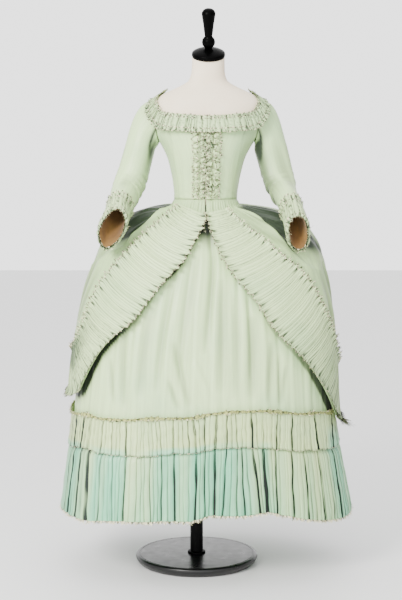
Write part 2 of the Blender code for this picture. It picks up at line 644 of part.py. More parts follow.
def sleeve_surface(side):
    """A sleeve's outer surface: round the tube by the clock, 0 outwards and 90 to the front, and down it.

    Below travel 1 each point runs on a cubic curve from the armhole's oval to the first ring. From there
    the rings are square to the centre line. The last ones are squeezed flat from the sides, and sheared so
    that the mouth looks forward.
    """
    squeeze = SLEEVE_SQUEEZE_RIGHT if side > 0 else SLEEVE_SQUEEZE_LEFT

    def centre_line(travel):
        ring = SleeveRing(*np.moveaxis(smooth_table(np.asarray(travel) - 1.0, SLEEVE), -1, 0))
        centre = np.stack([ring.out - side * ring.splay, ring.back, ring.height - side * ring.sag], axis=-1)
        return centre, ring.radius

    def ring_place(clock, travel):
        centre, radius = centre_line(travel)
        along = centre_line(travel + 0.05)[0] - centre_line(travel - 0.05)[0]
        along /= np.linalg.norm(along, axis=-1, keepdims=True)
        outwards = np.array([1.0, 0.0, 0.0]) - along[..., :1] * along
        outwards /= np.linalg.norm(outwards, axis=-1, keepdims=True)
        forward = np.cross(along, outwards)
        angle = np.radians(clock)[..., None]
        slant = CUFF_SLANT * np.clip((travel - 4.0) / 3.0, 0.0, 1.2) ** 2
        flat = squeeze * smooth_table(travel, [[0.0], [1.0], [1.0]], [3.5, 6.0, 8.0])
        across = outwards * (np.cos(angle) * (1 - flat)) + forward * (np.sin(angle) * (1 + 0.3 * flat))
        return centre + radius[..., None] * across - along * slant[..., None] * np.sin(angle), along

    def place(clock, travel):
        clock, travel = np.broadcast_arrays(np.asarray(clock, float), np.asarray(travel, float))
        angle = np.radians(clock)
        height = ARMHOLE_HEIGHT + ARMHOLE_HALF_HEIGHT * np.cos(angle)
        turn = ARMHOLE_TURN - ARMHOLE_HALF_TURN * np.sin(angle)
        start = TORSO.lifted(turn, height, BODICE_LIFT + CLOTH + 4 * LAP_GAP)
        start = start - np.stack([axis_out(height), 0 * height, 0 * height], axis=-1)
        end, along = ring_place(clock, np.maximum(travel, 1.0))
        length = np.linalg.norm(end - start, axis=-1, keepdims=True)
        leave = np.stack([0.65 + 0.35 * np.cos(angle), 0 * angle, 0.4 * np.cos(angle) - 0.55], axis=-1)
        leave /= np.linalg.norm(leave, axis=-1, keepdims=True)
        share = np.clip(travel, 0.0, 1.0)[..., None]
        start_weight = 2 * share**3 - 3 * share**2 + 1
        point = (
            start_weight * start
            + (share**3 - 2 * share**2 + share) * length * leave
            + (1 - start_weight) * end
            + (share**3 - share**2) * length * along
        )
        x = axis_out(point[..., 2]) + side * point[..., 0]
        return np.stack([x, point[..., 1], point[..., 2]], axis=-1)

    return Surface(place, 2.0, 0.02 * side)


def build_sleeve(name, side, seed):
    """A sleeve, the pleated frill round its mouth, and the brown lining that shows inside the mouth."""
    surface = sleeve_surface(side)
    clocks = np.linspace(0.0, 360.0, SLEEVE_SIDES, endpoint=False)[None, :]
    travels = np.array(SLEEVE_TRAVELS)[:, None]
    bent = (travels > 1.5) & (travels < 5.5)
    wrinkle = SLEEVE_WRINKLE * np.sin(np.radians(clocks * 2) + travels * 2.1) * bent
    outer = surface.lifted(clocks, travels, wrinkle)
    inner = surface.lifted(clocks, travels, wrinkle - CLOTH)
    inner[0] = surface.lifted(clocks, travels, 0.0)[0]
    inner[0] += 0.025 * (inner[0].mean(axis=0) - inner[0])
    add_wall("sleeve_" + name, outer, inner, PALE_SILK, closed=True)

    shares, rises = pleats(CUFF_PLEATS, seed)
    frill_clocks = 360.0 * shares[None, :-1]
    frill_travels, flare = np.array(CUFF_LINES).T[..., None]
    wave = flare + CUFF_PLEAT_DEPTH * rises[None, :-1]
    add_wall(
        "cuff_frill_" + name,
        surface.lifted(frill_clocks, frill_travels, wave + PLEATED_CLOTH),
        surface.lifted(frill_clocks, frill_travels, wave),
        TRIM_SILK, closed=True,
    )
    lining_travels = np.array(LINING_TRAVELS)[:, None]
    add_wall(
        "cuff_lining_" + name,
        surface.lifted(clocks, lining_travels, -CLOTH - LINING_INSET),
        surface.lifted(clocks, lining_travels, -2 * CLOTH - LINING_INSET),
        BROWN_LINING, closed=True,
    )


def seam_turn(radius):
    """Half of a seam's gap, as a turn at this radius."""
    return math.degrees(SEAM_GAP / 2 / radius)


def build_petticoat(name, first, last, columns, folds):
    """Half of the petticoat, inside the overskirt: plain at the waist, in soft folds lower down."""
    shares = np.linspace(0.0, 1.0, columns)
    turns = even_turns(SKIRT_SURFACE, 9.0, first, last, shares)[None, :]
    drops = skirt_level(turns, PETTICOAT_FOOT) - PETTICOAT_TOP_LEVEL
    levels = PETTICOAT_TOP_LEVEL + drops * np.array(PETTICOAT_ROWS)[:, None]
    base = -table_column(levels, PETTICOAT_INSETS, "level", "depth")[0]
    depth = table_column(levels, PETTICOAT_FOLDS, "level", "depth")[0]
    wave = depth * (np.cos(2 * math.pi * folds * shares)[None, :] - 1) / 2
    outer = SKIRT_SURFACE.lifted(turns, levels, base + wave)
    inner = SKIRT_SURFACE.lifted(turns, levels, base + wave - CLOTH)
    add_wall(name, outer, inner, PALE_SILK)


def build_flounce_half(name, first, last, seed):
    """Half of the flounce: the pale upper tier, the turquoise lower tier tucked under it, the heading."""
    shares, rises = pleats(FLOUNCE_PLEATS, seed)
    turns = even_turns(SKIRT_SURFACE, HEM_LEVEL, first, last, shares)[None, :]
    for tier in TIERS:
        levels = np.stack([skirt_level(turns[0], height) for height in (tier.top, tier.foot)])
        depths = FLOUNCE_DEPTH * np.array([tier.top_depth, tier.foot_depth])[:, None]
        wave = tier.lift + depths * rises[None, :]
        outer = SKIRT_SURFACE.lifted(turns, levels, wave + PLEATED_CLOTH)
        inner = SKIRT_SURFACE.lifted(turns, levels, wave)
        add_wall(tier.prefix + name, outer, inner, tier.finish)

    shares = np.linspace(0.0, 1.0, 2 * HEADING_RIPPLES + 1)
    turns = even_turns(SKIRT_SURFACE, 10.0, first, last, shares)[None, :]
    levels = np.stack([skirt_level(turns[0], HEADING_HEIGHT + line.rise) for line in HEADING_LINES])
    ripple = np.arange(len(shares)) % 2
    lifts = np.stack([line.lift + line.swell * ripple for line in HEADING_LINES])
    outer = SKIRT_SURFACE.lifted(turns, levels, lifts)
    inner = SKIRT_SURFACE.lifted(turns, levels, lifts - CLOTH)
    add_wall("flounce_heading_" + name, outer, inner, TRIM_SILK)


def build_overskirt(name, first, last, columns):
    """A panel of the overskirt, from the waist seam down to its drawn-up edge."""
    turns = np.linspace(first, last, columns)[None, :]
    edges = skirt_level(turns, edge_height(turns))
    levels = edges * np.array(OVERSKIRT_ROWS)[:, None]
    lift = puff_lift(turns, levels)
    outer = SKIRT_SURFACE.lifted(turns, levels, lift)
    inner = SKIRT_SURFACE.lifted(turns, levels, lift - CLOTH)
    add_wall(name, outer, inner, PALE_SILK)


def build_furbelow(name, side, stations, count, seed):
    """The pleated band on a panel of the overskirt, between its edge and the band's top line."""
    rows = np.array(stations, float)
    dense = np.linspace(0.0, len(rows) - 1.0, 401)
    line = smooth_table(dense, rows)
    middle_turn = side * (line[:, 0] + line[:, 2]) / 2
    middle_level = skirt_level(middle_turn, (line[:, 1] + line[:, 3]) / 2)
    steps = np.linalg.norm(np.diff(skirt_place(middle_turn, middle_level), axis=0), axis=1)
    way = np.concatenate([[0.0], np.cumsum(steps)])
    shares, rises = pleats(count, seed)
    margin = SEAM_GAP / way[-1]
    station = np.interp(margin + (1 - 2 * margin) * shares, way / way[-1], dense)
    edge_turn, edge_top, heading_turn, heading_top = smooth_table(station, rows).T
    across, seat, depth = np.array(FURBELOW_LINES).T[..., None]
    turns = side * (edge_turn + (heading_turn - edge_turn) * across)
    edge_level = skirt_level(side * edge_turn, edge_top)
    heading_level = skirt_level(side * heading_turn, heading_top)
    levels = edge_level + (heading_level - edge_level) * across
    lift = puff_lift(turns, levels) + seat + depth * rises[None, :]
    outer = SKIRT_SURFACE.lifted(turns, levels, lift + PLEATED_CLOTH)
    inner = SKIRT_SURFACE.lifted(turns, levels, lift)
    add_wall(name, outer, inner, TRIM_SILK)


def build():
    """The stand and form, then the robe from the bodice down."""
    for old in list(bpy.data.objects):
        bpy.data.objects.remove(old, do_unlink=True)
    build_stand()
    build_form()
    build_neck_cap()
    for name, side, seed in (("left", -1, 15), ("right", 1, 12)):
        build_bodice_half("bodice_front_" + name, side, FRONT_PANEL, 0.15, FRONT_CENTRE)
        build_bodice_half("bodice_back_" + name, side, BACK_PANEL, 179.85, BACK_CENTRE)
        build_ruche("front_ruche_" + name, side)
        build_frill("neck_frill_" + name, side, seed)
        build_sleeve(name, side, seed + 10)
    gap = seam_turn(SKIRT[0].front)
    build_petticoat("petticoat_front", -90.0 + gap, 90.0 - gap, 33, 8)
    build_petticoat("petticoat_back", 90.0 + gap, 270.0 - gap, 19, 4)
    hem_gap = seam_turn(SKIRT[-1].front)
    build_flounce_half("front", -90.0 + hem_gap, 90.0 - hem_gap, 31)
    build_flounce_half("back", 90.0 + hem_gap, 270.0 - hem_gap, 32)
    build_overskirt("overskirt_right", FRONT_OPENING_TURN, BACK_PANEL_TURN - gap, 16)
    build_overskirt("overskirt_left", -FRONT_OPENING_TURN, gap - BACK_PANEL_TURN, 16)
    build_overskirt("overskirt_back", BACK_PANEL_TURN + gap, 360.0 - BACK_PANEL_TURN - gap, 21)
    build_furbelow("furbelow_right", 1, EDGE_RIGHT, FURBELOW_PLEATS, 41)
    build_furbelow("furbelow_left", -1, EDGE_LEFT, FURBELOW_PLEATS, 42)
    build_furbelow("furbelow_back", 1, EDGE_BACK, FURBELOW_BACK_PLEATS, 43)


build()
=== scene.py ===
"""The looks of a robe à la circassienne on a limbless dress form.

The gown is pale green silk taffeta of the 1770s. Its overskirt is drawn up in swags and edged with a wide
pleated band, its petticoat has a deep flounce of two tiers, and every trim has a frayed edge.

Metres, +Z up, the wearer facing -Y, the origin at the centre of the stand's foot on the floor.
Turns go round the figure in degrees: 0 at the front centre, 90 at +X, 180 at the back, -90 at -X.
Each cloth piece is a grid of points on a smooth surface (torso, skirt or sleeve), moved out along the
surface's normal by its folds, pleats and wrinkles.
"""

import logging
import math
from dataclasses import dataclass
from enum import Enum
from typing import Callable, NamedTuple, Sequence

import bpy
import numpy as np
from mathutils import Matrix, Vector


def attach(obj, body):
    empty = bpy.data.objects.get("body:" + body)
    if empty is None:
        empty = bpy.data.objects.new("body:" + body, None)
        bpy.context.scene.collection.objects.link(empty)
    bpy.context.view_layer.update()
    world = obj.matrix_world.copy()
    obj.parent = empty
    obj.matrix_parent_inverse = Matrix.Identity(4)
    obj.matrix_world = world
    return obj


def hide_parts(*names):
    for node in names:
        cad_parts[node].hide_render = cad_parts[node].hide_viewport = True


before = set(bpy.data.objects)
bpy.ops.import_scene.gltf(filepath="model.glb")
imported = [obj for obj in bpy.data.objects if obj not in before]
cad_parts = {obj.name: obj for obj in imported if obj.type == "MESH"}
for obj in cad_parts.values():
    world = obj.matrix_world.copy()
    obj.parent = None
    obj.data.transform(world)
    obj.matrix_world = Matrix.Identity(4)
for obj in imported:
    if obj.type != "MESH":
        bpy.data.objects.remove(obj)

Array = np.ndarray
Piece = bpy.types.Object
Tree = bpy.types.NodeTree
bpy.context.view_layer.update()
log = logging.getLogger("robe")


class Side(Enum):
    """The viewer's left and right, as the sign of x."""

    LEFT = -1
    RIGHT = 1

    @property
    def word(self) -> str:
        """The side's name as the nodes spell it."""
        return self.name.lower()


class Hold(Enum):
    """How a sheet of cloth is held."""

    HUNG = "hung"
    DRAPED = "draped"
    GATHERED = "gathered"
    STRETCHED = "stretched"


# Driving sizes in metres, the same as the solids'
FOOT_RADIUS = 0.205
FOOT_THICKNESS = 0.030
POLE_RADIUS = 0.0215
CAP_RADIUS = 0.054
CAP_TILT = math.radians(24.0)
AXIS_OUT = 0.030
WAIST_HEIGHT = 1.222
LEAN = 0.020
FORM_FOOT = 0.930
NECK_TOP = 1.687
TORSO_ROUNDNESS = 2.2
SKIRT_ROUNDNESS = 2.25
FRONT_FALL = 1.4
HEM_LEVEL = 13.0
LAST_LEVEL = 14.0
SILK = 0.0009
SEAM_GAP = 0.0004

# Turns of the seams between the overskirt's back and its two fronts
SEAM_RIGHT = 105.0
SEAM_LEFT = 255.0


def rows_of(kind: Callable[..., NamedTuple], *rows: Sequence[float]) -> tuple[NamedTuple, ...]:
    """A table: every row as the named row of its kind."""
    return tuple(kind(*row) for row in rows)


class BodySection(NamedTuple):
    """The torso at one height: half its width, and its reach to the front and to the back."""

    height: float
    half_width: float
    front: float
    back: float


BODY = rows_of(
    BodySection,
    (0.93, 0.15, 0.105, 0.115), (1.0, 0.155, 0.102, 0.12), (1.08, 0.14, 0.095, 0.11),
    (1.15, 0.114, 0.086, 0.09), (1.195, 0.1025, 0.082, 0.081), (1.226, 0.1015, 0.082, 0.08),
    (1.28, 0.107, 0.09, 0.084), (1.325, 0.1165, 0.103, 0.09), (1.36, 0.1265, 0.114, 0.096),
    (1.395, 0.1435, 0.12, 0.101), (1.427, 0.162, 0.121, 0.104), (1.46, 0.174, 0.116, 0.105),
    (1.5, 0.183, 0.104, 0.103), (1.53, 0.183, 0.088, 0.097), (1.56, 0.158, 0.07, 0.086),
    (1.578, 0.123, 0.058, 0.076), (1.592, 0.093, 0.051, 0.066), (1.611, 0.064, 0.047, 0.056),
    (1.64, 0.056, 0.046, 0.051), (1.7, 0.054, 0.046, 0.049),
)


class SkirtRing(NamedTuple):
    """A ring of the skirt: reach and height at the side, the front and the back, and its shift in x."""

    side: float
    side_height: float
    front: float
    front_height: float
    back: float
    back_height: float
    sway: float


SKIRT = rows_of(
    SkirtRing,
    (0.104, 1.222, 0.086, 1.222, 0.084, 1.222, 0.0),
    (0.112, 1.204, 0.096, 1.195, 0.1, 1.207, 0.0),
    (0.165, 1.198, 0.125, 1.15, 0.155, 1.202, 0.004),
    (0.235, 1.182, 0.155, 1.095, 0.215, 1.185, 0.008),
    (0.305, 1.142, 0.185, 1.035, 0.265, 1.135, 0.012),
    (0.352, 1.082, 0.212, 0.965, 0.3, 1.06, 0.008),
    (0.385, 1.0, 0.235, 0.89, 0.325, 0.97, 0.002),
    (0.41, 0.9, 0.255, 0.815, 0.34, 0.87, -0.003),
    (0.427, 0.79, 0.272, 0.735, 0.35, 0.77, -0.007),
    (0.436, 0.68, 0.288, 0.65, 0.357, 0.67, -0.011),
    (0.445, 0.56, 0.302, 0.55, 0.364, 0.56, -0.014),
    (0.456, 0.46, 0.31, 0.46, 0.37, 0.46, -0.014),
    (0.476, 0.335, 0.322, 0.335, 0.384, 0.335, -0.012),
    (0.496, 0.21, 0.334, 0.21, 0.398, 0.21, -0.01),
    (0.503, 0.165, 0.338, 0.165, 0.403, 0.165, -0.01),
)


# How far the skirt's sides hang over to +X, past the solids, at some of its levels
SIDE_LEVELS = (2.0, 3.0, 6.0, 9.0, 10.0, 11.0, 12.0, 13.0, 14.0)
SIDE_SWAY = (0.0, 0.005, 0.007, 0.007, 0.005, 0.008, 0.010, 0.012, 0.012)


class EdgeStation(NamedTuple):
    """A station along the overskirt's edge, and the end of the pleated band's line that starts there."""

    turn: float
    height: float
    heading_turn: float
    heading_height: float


EDGE_RIGHT = rows_of(
    EdgeStation,
    (0.8, 1.178, 30.0, 1.19), (3.0, 1.12, 31.5, 1.146), (6.5, 1.046, 35.5, 1.102),
    (12.5, 0.98, 40.0, 1.046), (22.2, 0.904, 49.0, 0.998), (28.2, 0.833, 55.5, 0.95),
    (34.0, 0.787, 60.0, 0.9), (45.0, 0.721, 68.0, 0.818), (55.0, 0.655, 76.0, 0.75),
    (67.0, 0.572, 86.0, 0.695), (77.0, 0.503, 96.0, 0.662), (90.0, 0.486, 105.0, 0.65),
    (105.0, 0.51, 112.0, 0.668),
)
EDGE_LEFT = rows_of(
    EdgeStation,
    (0.8, 1.174, 46.0, 1.204), (4.5, 1.135, 47.0, 1.184), (9.0, 1.093, 46.0, 1.15),
    (14.0, 1.027, 46.5, 1.104), (20.8, 0.968, 49.5, 1.052), (26.0, 0.908, 54.0, 0.995),
    (32.0, 0.842, 59.5, 0.93), (39.5, 0.798, 63.0, 0.868), (48.0, 0.742, 67.0, 0.808),
    (57.0, 0.66, 74.0, 0.752), (64.0, 0.602, 83.0, 0.728), (80.0, 0.585, 97.0, 0.728),
    (105.0, 0.6, 112.0, 0.75),
)
EDGE_BACK = rows_of(
    EdgeStation,
    (105.0, 0.51, 112.0, 0.668), (128.0, 0.5, 131.0, 0.66), (146.0, 0.6, 147.0, 0.745),
    (155.0, 0.68, 155.0, 0.815), (164.0, 0.6, 163.5, 0.75), (180.0, 0.555, 180.0, 0.715),
    (196.0, 0.6, 196.5, 0.75), (205.0, 0.69, 205.0, 0.82), (214.0, 0.62, 213.0, 0.765),
    (232.0, 0.56, 229.0, 0.715), (255.0, 0.6, 248.0, 0.75),
)


class Puff(NamedTuple):
    """How far the drawn-up overskirt stands out at a turn."""

    turn: float
    reach: float


PUFFS = rows_of(
    Puff,
    (-160.0, 0.01), (-128.0, 0.034), (-95.0, 0.006), (-60.0, 0.003), (-25.0, 0.0), (25.0, 0.0),
    (60.0, 0.003), (95.0, 0.006), (128.0, 0.034), (155.0, 0.01), (180.0, 0.04), (205.0, 0.01),
    (232.0, 0.034), (265.0, 0.006),
)


def cubic(share: Array, start: Array, leaving: Array, end: Array, arriving: Array) -> Array:
    """A cubic from start to end as share goes from 0 to 1, with the given slopes at its two ends.

    Args:
        share: Where to read.
        start: The value at 0.
        leaving: The slope there.
        end: The value at 1.
        arriving: The slope there.

    Returns:
        The values.
    """
    weight = 2 * share**3 - 3 * share**2 + 1
    slopes = (share**3 - 2 * share**2 + share) * leaving + (share**3 - share**2) * arriving
    return weight * start + (1 - weight) * end + slopes


def smooth_table(x: Array | float, rows: Sequence, knots: Sequence[float] | None = None) -> Array:
    """Reads monotone cubic curves through a table's rows.

    Each knot's slope is the weighted harmonic mean of the slopes beside it, so the curve never
    overshoots its rows. Past the ends the table's first and last rows hold.

    Args:
        x: Where to read, in the knots' own unit.
        rows: The table, a row for each knot.
        knots: The rows' places, or None for 0, 1, 2 and so on.

    Returns:
        The table's columns at x, on a last axis of their own.
    """
    values = np.asarray(rows, float)
    values = values[:, None] if values.ndim == 1 else values
    places = np.arange(len(values), dtype=float) if knots is None else np.asarray(knots, float)
    span = np.diff(places)
    slope = np.diff(values, axis=0) / span[:, None]
    before, after = slope[:-1], slope[1:]
    weight_before = (2 * span[1:] + span[:-1])[:, None]
    weight_after = (span[1:] + 2 * span[:-1])[:, None]
    same_way = before * after > 0
    safe_before = np.where(same_way, before, 1.0)
    safe_after = np.where(same_way, after, 1.0)
    mean = (weight_before + weight_after) / (weight_before / safe_before + weight_after / safe_after)
    tangent = np.concatenate([slope[:1], np.where(same_way, mean, 0.0), slope[-1:]])
    x = np.clip(np.asarray(x, float), places[0], places[-1])
    cell = np.clip(np.searchsorted(places, x, side="right") - 1, 0, len(places) - 2)
    width = span[cell][..., None]
    share = (x - places[cell])[..., None] / width
    return cubic(share, values[cell], width * tangent[cell], values[cell + 1], width * tangent[cell + 1])


def curve(x: Array | float, knots: Sequence[float], values: Sequence[float]) -> Array:
    """One smooth curve through (knot, value) pairs, read at x."""
    return smooth_table(x, values, knots)[..., 0]


def column(x: Array, table: Sequence[NamedTuple], key: str, *names: str) -> Array:
    """Named columns of a table of named rows, read smoothly at x along its key column."""
    rows = [[getattr(row, name) for name in names] for row in table]
    return np.moveaxis(smooth_table(x, rows, [getattr(row, key) for row in table]), -1, 0)


def turn_from(turn: Array | float, start: float = -180.0) -> Array:
    """The same turn within the full circle that begins at start."""
    return (np.asarray(turn, float) - start) % 360.0 + start


def signed_power(base: Array, exponent: float) -> Array:
    """The power of a number's size, with the number's own sign."""
    return np.sign(base) * np.abs(base) ** exponent


def axis_out(height: Array | float) -> Array:
    """The figure's axis in x, leaning above the waist."""
    return AXIS_OUT + LEAN * np.maximum(np.asarray(height, float) - WAIST_HEIGHT, 0.0)


def torso_place(turn: Array, height: Array) -> Array:
    """The torso's skin: at each height a rounded oval, |x/a|^n + |y/b|^n = 1.

    Args:
        turn: The turns, in degrees.
        height: The heights, in metres.

    Returns:
        The points.
    """
    half_width, front, back = column(height, BODY, "height", "half_width", "front", "back")
    angle = np.radians(turn)
    along = signed_power(np.cos(angle), 2 / TORSO_ROUNDNESS)
    x = axis_out(height) + half_width * signed_power(np.sin(angle), 2 / TORSO_ROUNDNESS)
    y = -np.where(along >= 0, front, back) * along
    return np.stack(np.broadcast_arrays(x, y, height), axis=-1)


def skirt_place(turn: Array, level: Array) -> Array:
    """The skirt over the hips: rounded ovals whose height falls from the side to the front and back.

    Args:
        turn: The turns, in degrees.
        level: The skirt's levels, from 0 at the waist to 14 at the hem.

    Returns:
        The points.
    """
    ring = SkirtRing(*np.moveaxis(smooth_table(level, SKIRT), -1, 0))
    angle = np.radians(turn)
    ahead = np.cos(angle) >= 0
    share = np.abs(np.cos(angle)) ** np.where(ahead, FRONT_FALL, 2.0)
    x = AXIS_OUT + ring.sway + ring.side * signed_power(np.sin(angle), 2 / SKIRT_ROUNDNESS)
    x = x + curve(level, SIDE_LEVELS, SIDE_SWAY) * np.sin(angle) ** 4
    y = -np.where(ahead, ring.front, ring.back) * signed_power(np.cos(angle), 2 / SKIRT_ROUNDNESS)
    end_height = np.where(ahead, ring.front_height, ring.back_height)
    z = ring.side_height * (1 - share) + end_height * share
    return np.stack(np.broadcast_arrays(x, y, z), axis=-1)


class Patch(NamedTuple):
    """A grid of points, rows by columns, with the outward normals of the surface they lie on."""

    points: Array
    normals: Array


@dataclass(frozen=True)
class Surface:
    """A surface of two coordinates.

    Attributes:
        place: Gives points from a turn and a travel.
        turn_step: The step for slopes round the surface, signed so that normals point out.
        travel_step: The step for slopes along the surface.
    """

    place: Callable[[Array, Array], Array]
    turn_step: float
    travel_step: float

    def at(self, turn: Array, travel: Array, lift: Array | float = 0.0) -> Patch:
        """Points moved out along the normal, which is the cross product of the two slopes.

        Args:
            turn: The first coordinate.
            travel: The second coordinate.
            lift: How far out, in metres.

        Returns:
            The points and the normals.
        """
        turn, travel, lift = np.broadcast_arrays(
            np.asarray(turn, float), np.asarray(travel, float), np.asarray(lift, float)
        )
        round_it = self.place(turn + self.turn_step, travel) - self.place(turn - self.turn_step, travel)
        along_it = self.place(turn, travel + self.travel_step) - self.place(turn, travel - self.travel_step)
        normal = np.cross(round_it, along_it)
        normal /= np.linalg.norm(normal, axis=-1, keepdims=True)
        return Patch(self.place(turn, travel) + normal * lift[..., None], normal)


TORSO = Surface(torso_place, 0.5, 0.002)
SKIRT_SURFACE = Surface(skirt_place, 0.5, -0.03)


HALVINGS = 22


def skirt_level(turn: Array, height: Array | float) -> Array:
    """The skirt's level that has this height at this turn, found by halving the range.

    Args:
        turn: The turns, in degrees.
        height: The heights, in metres.

    Returns:
        The levels.
    """
    turn, height = np.broadcast_arrays(np.asarray(turn, float), np.asarray(height, float))
    low, high = np.zeros(turn.shape), np.full(turn.shape, LAST_LEVEL)
    for _ in range(HALVINGS):
        middle = (low + high) / 2
        above = skirt_place(turn, middle)[..., 2] > height
        low, high = np.where(above, middle, low), np.where(above, high, middle)
    return (low + high) / 2


def edge_height(turn: Array) -> Array:
    """The height of the overskirt's edge at a turn.

    Args:
        turn: The turns, in degrees.

    Returns:
        The heights, in metres.
    """
    turn = np.asarray(turn, float)
    round_right = np.where(turn < 0, turn + 360.0, turn)
    right = column(round_right, EDGE_RIGHT, "turn", "height")[0]
    left = column(np.where(turn < 0, -turn, 360.0 - turn), EDGE_LEFT, "turn", "height")[0]
    back = column(round_right, EDGE_BACK, "turn", "height")[0]
    return np.where(round_right <= SEAM_RIGHT, right, np.where(round_right >= SEAM_LEFT, left, back))


def puff_lift(turn: Array, level: Array) -> Array:
    """How far the drawn-up overskirt stands out, from nothing at the waist to a puff above its edge.

    Args:
        turn: The turns, in degrees.
        level: The skirt's levels, from 0 at the waist to 14 at the hem.

    Returns:
        The lift at each grid point, in metres.
    """
    reach = column(turn_from(turn, -150.0), PUFFS, "turn", "reach")[0]
    share = level / skirt_level(turn, edge_height(turn))
    return reach * curve(share, [0.0, 0.3, 0.6, 0.85, 1.0], [0.0, 0.08, 0.7, 1.0, 0.7])


# How many turns the way round a surface is measured at
TURN_STEPS = 721


def arc(points: Array, axis: int) -> Array:
    """Distance along a grid's rows or columns, from its first point."""
    steps = np.linalg.norm(np.diff(points, axis=axis), axis=-1)
    return np.insert(np.cumsum(steps, axis=axis), 0, 0.0, axis=axis)


def even_turns(surface: Surface, travel: float, first: float, last: float, shares: Array) -> Array:
    """Turns between two turns at the given shares of the way round, measured on the surface.

    Args:
        surface: What the way is measured on.
        travel: Where along it.
        first: The turn at share 0.
        last: The turn at share 1.
        shares: The shares, from 0 to 1.

    Returns:
        The turns.
    """
    turns = np.linspace(first, last, TURN_STEPS)
    way = arc(surface.place(turns, np.full(TURN_STEPS, travel)), 0)
    return np.interp(np.asarray(shares) * way[-1], way, turns)


def waves(position: Array, spacing: float, seed: int) -> Array:
    """Uneven waves from about -1 to 1: three cosines of unlike lengths and random starts, added up.

    Args:
        position: Distance along the line, in metres.
        spacing: The main wave's length in metres.
        seed: Fixes the random starts.

    Returns:
        The waves' height at each position.
    """
    starts = np.random.default_rng(seed).uniform(0.0, math.tau, 3)
    phase = math.tau * np.asarray(position) / spacing
    return (
        0.55 * np.cos(phase + starts[0])
        + 0.35 * np.cos(0.618 * phase + starts[1])
        + 0.25 * np.cos(1.71 * phase + starts[2])
    )


def smooth_step(x: Array | float, low: float, high: float) -> Array:
    """0 below low, 1 above high, and a smooth rise between them."""
    share = np.clip((np.asarray(x, float) - low) / (high - low), 0.0, 1.0)
    return share * share * (3 - 2 * share)


class Crease(NamedTuple):
    """A soft trough in a skirt, or a ridge where its depth is below zero.

    It runs from one turn and height to another and bows down by its drop on the way, as a swag's do.
    """

    turn_start: float
    height_start: float
    turn_end: float
    height_end: float
    width: float
    depth: float
    drop: float = 0.0


def crease_lift(turn: Array, level: Array, creases: Sequence[Crease], pieces: int = 6) -> Array:
    """Adds up creases: each is depth times a bell curve of the distance to its line, faded at its ends.

    Args:
        turn: The grid's turns.
        level: The grid's levels.
        creases: The creases to press in.
        pieces: How many straight pieces stand for a bowed line.

    Returns:
        The lift at each grid point, in metres.
    """
    points = skirt_place(turn, level)
    lift = np.zeros(points.shape[:-1])
    for crease in creases:
        steps = np.linspace(0.0, 1.0, pieces + 1)
        turns = crease.turn_start + (crease.turn_end - crease.turn_start) * steps
        heights = crease.height_start + (crease.height_end - crease.height_start) * steps
        heights = heights - 4 * crease.drop * steps * (1 - steps)
        line = skirt_place(turns, skirt_level(turns, heights))
        best = np.full(lift.shape, np.inf)
        along = np.zeros(lift.shape)
        for index, (start, end) in enumerate(zip(line, line[1:])):
            way = end - start
            share = np.clip((points - start) @ way / (way @ way), 0.0, 1.0)
            distance = np.linalg.norm(points - start - share[..., None] * way, axis=-1)
            closer = distance < best
            best = np.where(closer, distance, best)
            along = np.where(closer, (index + share) / pieces, along)
        fade = np.clip(4 * along * (1 - along), 0.0, 1.0) ** 0.6
        lift -= crease.depth * fade * np.exp(-((best / crease.width) ** 2))
    return lift


class CrestPoint(NamedTuple):
    """Where the crest beside the hip's hollow runs: a level, and its turn at the left and at the right."""

    level: float
    left: float
    right: float


HIP_CREST = rows_of(
    CrestPoint,
    (1.3, 76.0, 57.0), (1.9, 72.0, 60.2), (2.4, 64.0, 59.0), (2.85, 60.8, 55.0), (3.3, 59.2, 53.0),
    (3.7, 59.0, 51.2), (4.2, 57.2, 51.0), (4.8, 63.0, 54.2), (5.4, 72.0, 59.5), (5.9, 84.0, 73.0),
)
# Metres to a degree of turn beside the hips, and the crest's height
HIP_METRES = 0.0044
CREST_RISE = 0.003


def hip_hollow(turn: Array, level: Array) -> tuple[Array, Array]:
    """The hollow behind each front hip, where the drawn-up skirt folds in, and the shadow painted in it.

    The lift is a crest of 3 mm and behind it a bank that drops by up to 14 mm and comes up slowly again.

    Args:
        turn: The grid's turns.
        level: The grid's levels.

    Returns:
        The lift in metres and the amount of painted shadow, at each grid point.
    """
    signed, level = np.broadcast_arrays(turn_from(turn), level)
    left, right = column(level, HIP_CREST, "level", "left", "right")
    behind = (np.abs(signed) - np.where(signed < 0, left, right)) * HIP_METRES
    deep = curve(level, [1.2, 2.2, 3.2, 4.3, 5.2, 6.2], [0.0, 0.011, 0.014, 0.013, 0.007, 0.0])
    bank = smooth_step(behind, -0.003, 0.010) * (1 - smooth_step(behind, 0.035, 0.110))
    crest = CREST_RISE * np.exp(-((behind / 0.009) ** 2))
    crest = crest * smooth_step(level, 1.2, 2.2) * smooth_step(6.4 - level, 0.0, 1.4)
    # Painted shadow in the hollow behind the crest, darker on the left
    gloom = smooth_step(behind, 0.0, 0.007) * (1 - smooth_step(behind, 0.10, 0.16))
    foot = level - 9.0 * behind + 0.4 * (signed < 0)
    gloom = gloom * smooth_step(level, 0.9, 1.5) * (1 - smooth_step(foot, 3.7, 4.9))
    return crest - deep * bank, gloom * np.where(signed < 0, 0.95, 0.80)


class PleatPoint(NamedTuple):
    """A point of a pleat's section: its share of the width, the cloth's height and the shade painted there.
    """

    share: float
    rise: float
    furrow: float = 0.0
